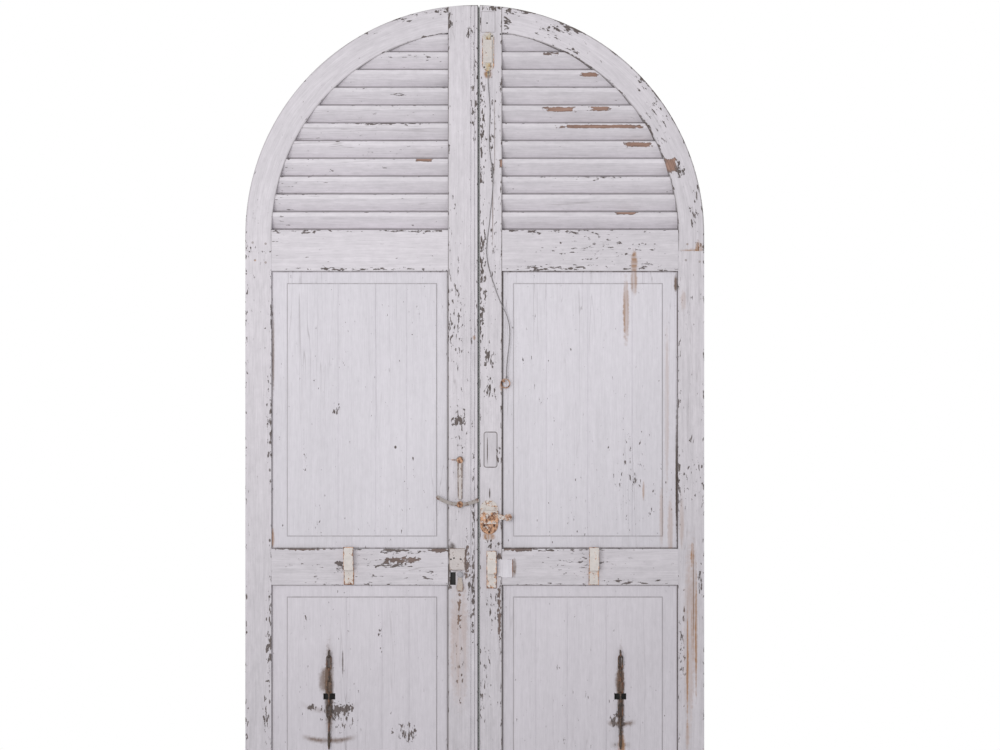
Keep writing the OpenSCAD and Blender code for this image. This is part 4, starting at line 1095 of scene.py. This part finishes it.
class SHUTTER_OT_hook_and_pull(bpy.types.Operator):
    """Finish the hook, the turn lever, the drop pull, their studs and the lock plate"""

    bl_idname = "shutter.hook_and_pull"
    bl_label = "Hook, lever and drop pull"

    def execute(self, context):
        low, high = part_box("hook_bar")
        # The hook bar's two inner rust lines, set in from its sides, are painted shade of its rounded face.
        shade_line_inset = Vector((0.0050, 0, -0.02))
        cream = rusted_iron(
            "hook_cream_paint", srgb(200, 192, 191), 0.36, light=srgb(160, 148, 143), dark=srgb(128, 112, 105),
            edges=[(low, high), (low + shade_line_inset, high - shade_line_inset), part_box("lock_plate")])
        rust = rusted_iron("stud_rust", srgb(168, 166, 172), 0.70, foot=(0.95, 0.22))
        grey = rusted_iron("lever_worn_paint", srgb(162, 154, 151), 0.44, light=srgb(120, 98, 86))
        # The drop pull's outline gets darker rust lines that are also painted shade at its edges.
        drop = rusted_iron("drop_worn_paint", srgb(186, 174, 166), 0.42, light=srgb(158, 130, 112),
                           edges=[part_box("drop_pull")])
        dress_iron(cream, "hook_bar", "lock_plate")
        dress_iron(drop, "drop_pull")
        finish_with(rust, "pivot_studs")
        dress_iron(grey, "turn_lever")
        bm = bmesh.new()
        nail = [(-0.0475, -0.013, 1.1835), (-0.0475, -0.0165, 1.1835), (-0.0485, -0.0185, 1.1835),
                (-0.0510, -0.0192, 1.1836), (-0.0560, -0.0193, 1.1838), (-0.0610, -0.0192, 1.1840)]
        tube(bm, nail, 0.0012, 8)
        new_piece("bent_nail", bm, rust, "left_leaf")
        return {"FINISHED"}


class SHUTTER_OT_brackets(bpy.types.Operator):
    """Finish the three bar brackets and screw their feet"""

    bl_idname = "shutter.brackets"
    bl_label = "Bar brackets"

    def execute(self, context):
        colours = context.scene.shutter_colours
        feet = {"left": ((-0.329, 0.858),), "right": ((0.311, 0.857), (0.044, 0.848))}
        # The brackets' outlines get darker rust lines that are also painted shade at their edges.
        boxes = [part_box("left_bar_bracket")]
        half, height = (boxes[0][1].x - boxes[0][0].x) / 2, boxes[0][1].z - boxes[0][0].z
        for x, z in feet["right"]:
            boxes.append((Vector((x - half, 0, z)), Vector((x + half, 0, z + height))))
        cream = rusted_iron("bracket_cream_paint", colours.iron_paint, 0.33, foot=(0.892, 0.42), edges=boxes)
        dress_iron(cream, "left_bar_bracket", "right_bar_brackets")
        for side in SIDES:
            screws = [(x, z + up, turn) for x, z in feet[side] for up, turn in ((0.009, 0.5), (0.027, 1.7))]
            add_screws(f"{side}_bracket_screws", screws, BRACKET, cream, f"{side}_leaf")
        return {"FINISHED"}


class SHUTTER_OT_chains(bpy.types.Operator):
    """Finish the hold-open chains and their staples"""

    bl_idname = "shutter.chains"
    bl_label = "Chains"

    def execute(self, context):
        iron = rusted_iron("chain_iron", srgb(72, 62, 55), 0.44, metallic=0.1, light=srgb(138, 108, 88))
        for side in SIDES:
            finish_with(iron, f"{side}_chain", f"{side}_chain_staple")
        return {"FINISHED"}


class SHUTTER_OT_repairs(bpy.types.Operator):
    """Add the thin patch on the right lock rail, the arch joints' nails and the stubs left in open holes"""

    bl_idname = "shutter.repairs"
    bl_label = "Patch and nails"

    def execute(self, context):
        stub = rusted_iron("nail_stub_rust", context.scene.shutter_colours.dark_iron, 0.25)
        rust = rusted_iron("nail_rust", srgb(176, 168, 168), 0.40)
        stubs = {
            "left": ((-0.0622, 0.9240), (-0.0542, 0.9270), (-0.0362, 0.9240)),
            "right": ((0.0453, 2.2917), (0.0247, 2.2103), (0.0320, 2.3260), (0.0673, 2.2970),
                      (0.0244, 1.0111), (0.0375, 0.9954), (0.0506, 1.0111)),
        }
        nails = {
            "left": ((-0.581, 1.752), (-0.547, 1.749), (-0.575, 1.706), (-0.547, 1.700)),
            "right": ((0.556, 1.748), (0.585, 1.744), (0.552, 1.706), (0.588, 1.702)),
        }
        self.make_patch(Vector((0.061, 0, 0.877)), Vector((0.100, 0, 0.9235)))
        nail_radius = context.scene.shutter_sizes.nail_radius
        for side in SIDES:
            add_nails(f"{side}_joint_nails", nails[side], nail_radius, 0.0009, rust, f"{side}_leaf")
            add_nails(f"{side}_nail_stubs", stubs[side], 0.0021, 0.0006, stub, f"{side}_leaf")
        return {"FINISHED"}

    def make_patch(self, low, high):
        """A thin sheet with ragged edges and a warped face."""
        columns, rows, thickness = 13, 15, 0.0022
        across = columns + 1
        bm = bmesh.new()
        sheets = []
        for lift in (0.0, thickness):
            sheet = []
            for j in range(rows + 1):
                for i in range(across):
                    x = low.x + (high.x - low.x) * i / columns
                    z = low.z + (high.z - low.z) * j / rows
                    ragged = noise.noise(Vector((x * 160, z * 160, 3))) * 0.0016
                    x += ragged if i in (0, columns) else 0
                    z += ragged if j in (0, rows) else 0
                    warp = 0.0004 * noise.noise(Vector((x * 60, z * 60, 8))) if lift else 0
                    sheet.append(bm.verts.new((x, LEAF_FRONT - lift - warp, z)))
            sheets.append(sheet)
            for j in range(rows):
                for i in range(columns):
                    k = j * across + i
                    bm.faces.new((sheet[k], sheet[k + 1], sheet[k + 1 + across], sheet[k + across]))
        rim = [*range(columns), *(j * across + columns for j in range(rows))]
        rim += [rows * across + i for i in range(columns, 0, -1)]
        rim += [j * across for j in range(rows, 0, -1)]
        for a, b in zip(rim, rim[1:] + rim[:1]):
            bm.faces.new((sheets[0][a], sheets[0][b], sheets[1][b], sheets[1][a]))
        marks = {"bare": [(101, 900, 4, 25)], "grime": [(65, 877, 6, 3)]}
        paint = painted_wood(
            "patch_paint", "upright", srgb(233, 229, 236), [(low, high, 0.003, 0.4)], marks, wear=0.2)
        new_piece("joint_patch", bm, paint, "right_leaf")


class SHUTTER_PT_sidebar(bpy.types.Panel):
    """The steps and values of the shutter leaves"""

    bl_label = "Shutter leaves"
    bl_idname = "SHUTTER_PT_sidebar"
    bl_space_type = "VIEW_3D"
    bl_region_type = "UI"
    bl_category = "Shutter"

    def draw(self, context):
        for step in STEPS:
            self.layout.operator(step.bl_idname)
        for values in (context.scene.shutter_sizes, context.scene.shutter_colours, context.scene.shutter_stage):
            for key in values.__annotations__:
                self.layout.prop(values, key)


STEPS = (
    SHUTTER_OT_stage, SHUTTER_OT_pull_cord, SHUTTER_OT_stiles, SHUTTER_OT_rails, SHUTTER_OT_arch_heads,
    SHUTTER_OT_panels, SHUTTER_OT_slats, SHUTTER_OT_hinges, SHUTTER_OT_latch, SHUTTER_OT_rim_bolt,
    SHUTTER_OT_hook_and_pull, SHUTTER_OT_brackets, SHUTTER_OT_chains, SHUTTER_OT_repairs,
)
CLASSES = (ShutterSizes, ShutterColours, ShutterStage, *STEPS, SHUTTER_PT_sidebar)


def register():
    for cls in CLASSES:
        bpy.utils.register_class(cls)
    bpy.types.Scene.shutter_sizes = PointerProperty(type=ShutterSizes)
    bpy.types.Scene.shutter_colours = PointerProperty(type=ShutterColours)
    bpy.types.Scene.shutter_stage = PointerProperty(type=ShutterStage)


def unregister():
    del bpy.types.Scene.shutter_stage
    del bpy.types.Scene.shutter_colours
    del bpy.types.Scene.shutter_sizes
    for cls in reversed(CLASSES):
        bpy.utils.unregister_class(cls)


def main():
    register()
    group_board_edges()
    group_wear_mark()
    group_plate_scar()
    group_swing_scar()
    group_weathered_paint()
    group_rusted_iron()
    bpy.ops.shutter.stage()
    bpy.ops.shutter.pull_cord()
    bpy.ops.shutter.stiles()
    bpy.ops.shutter.rails()
    bpy.ops.shutter.arch_heads()
    bpy.ops.shutter.panels()
    bpy.ops.shutter.slats()
    bpy.ops.shutter.hinges()
    bpy.ops.shutter.latch()
    bpy.ops.shutter.rim_bolt()
    bpy.ops.shutter.hook_and_pull()
    bpy.ops.shutter.brackets()
    bpy.ops.shutter.chains()
    bpy.ops.shutter.repairs()


if __name__ == "__main__":
    main()
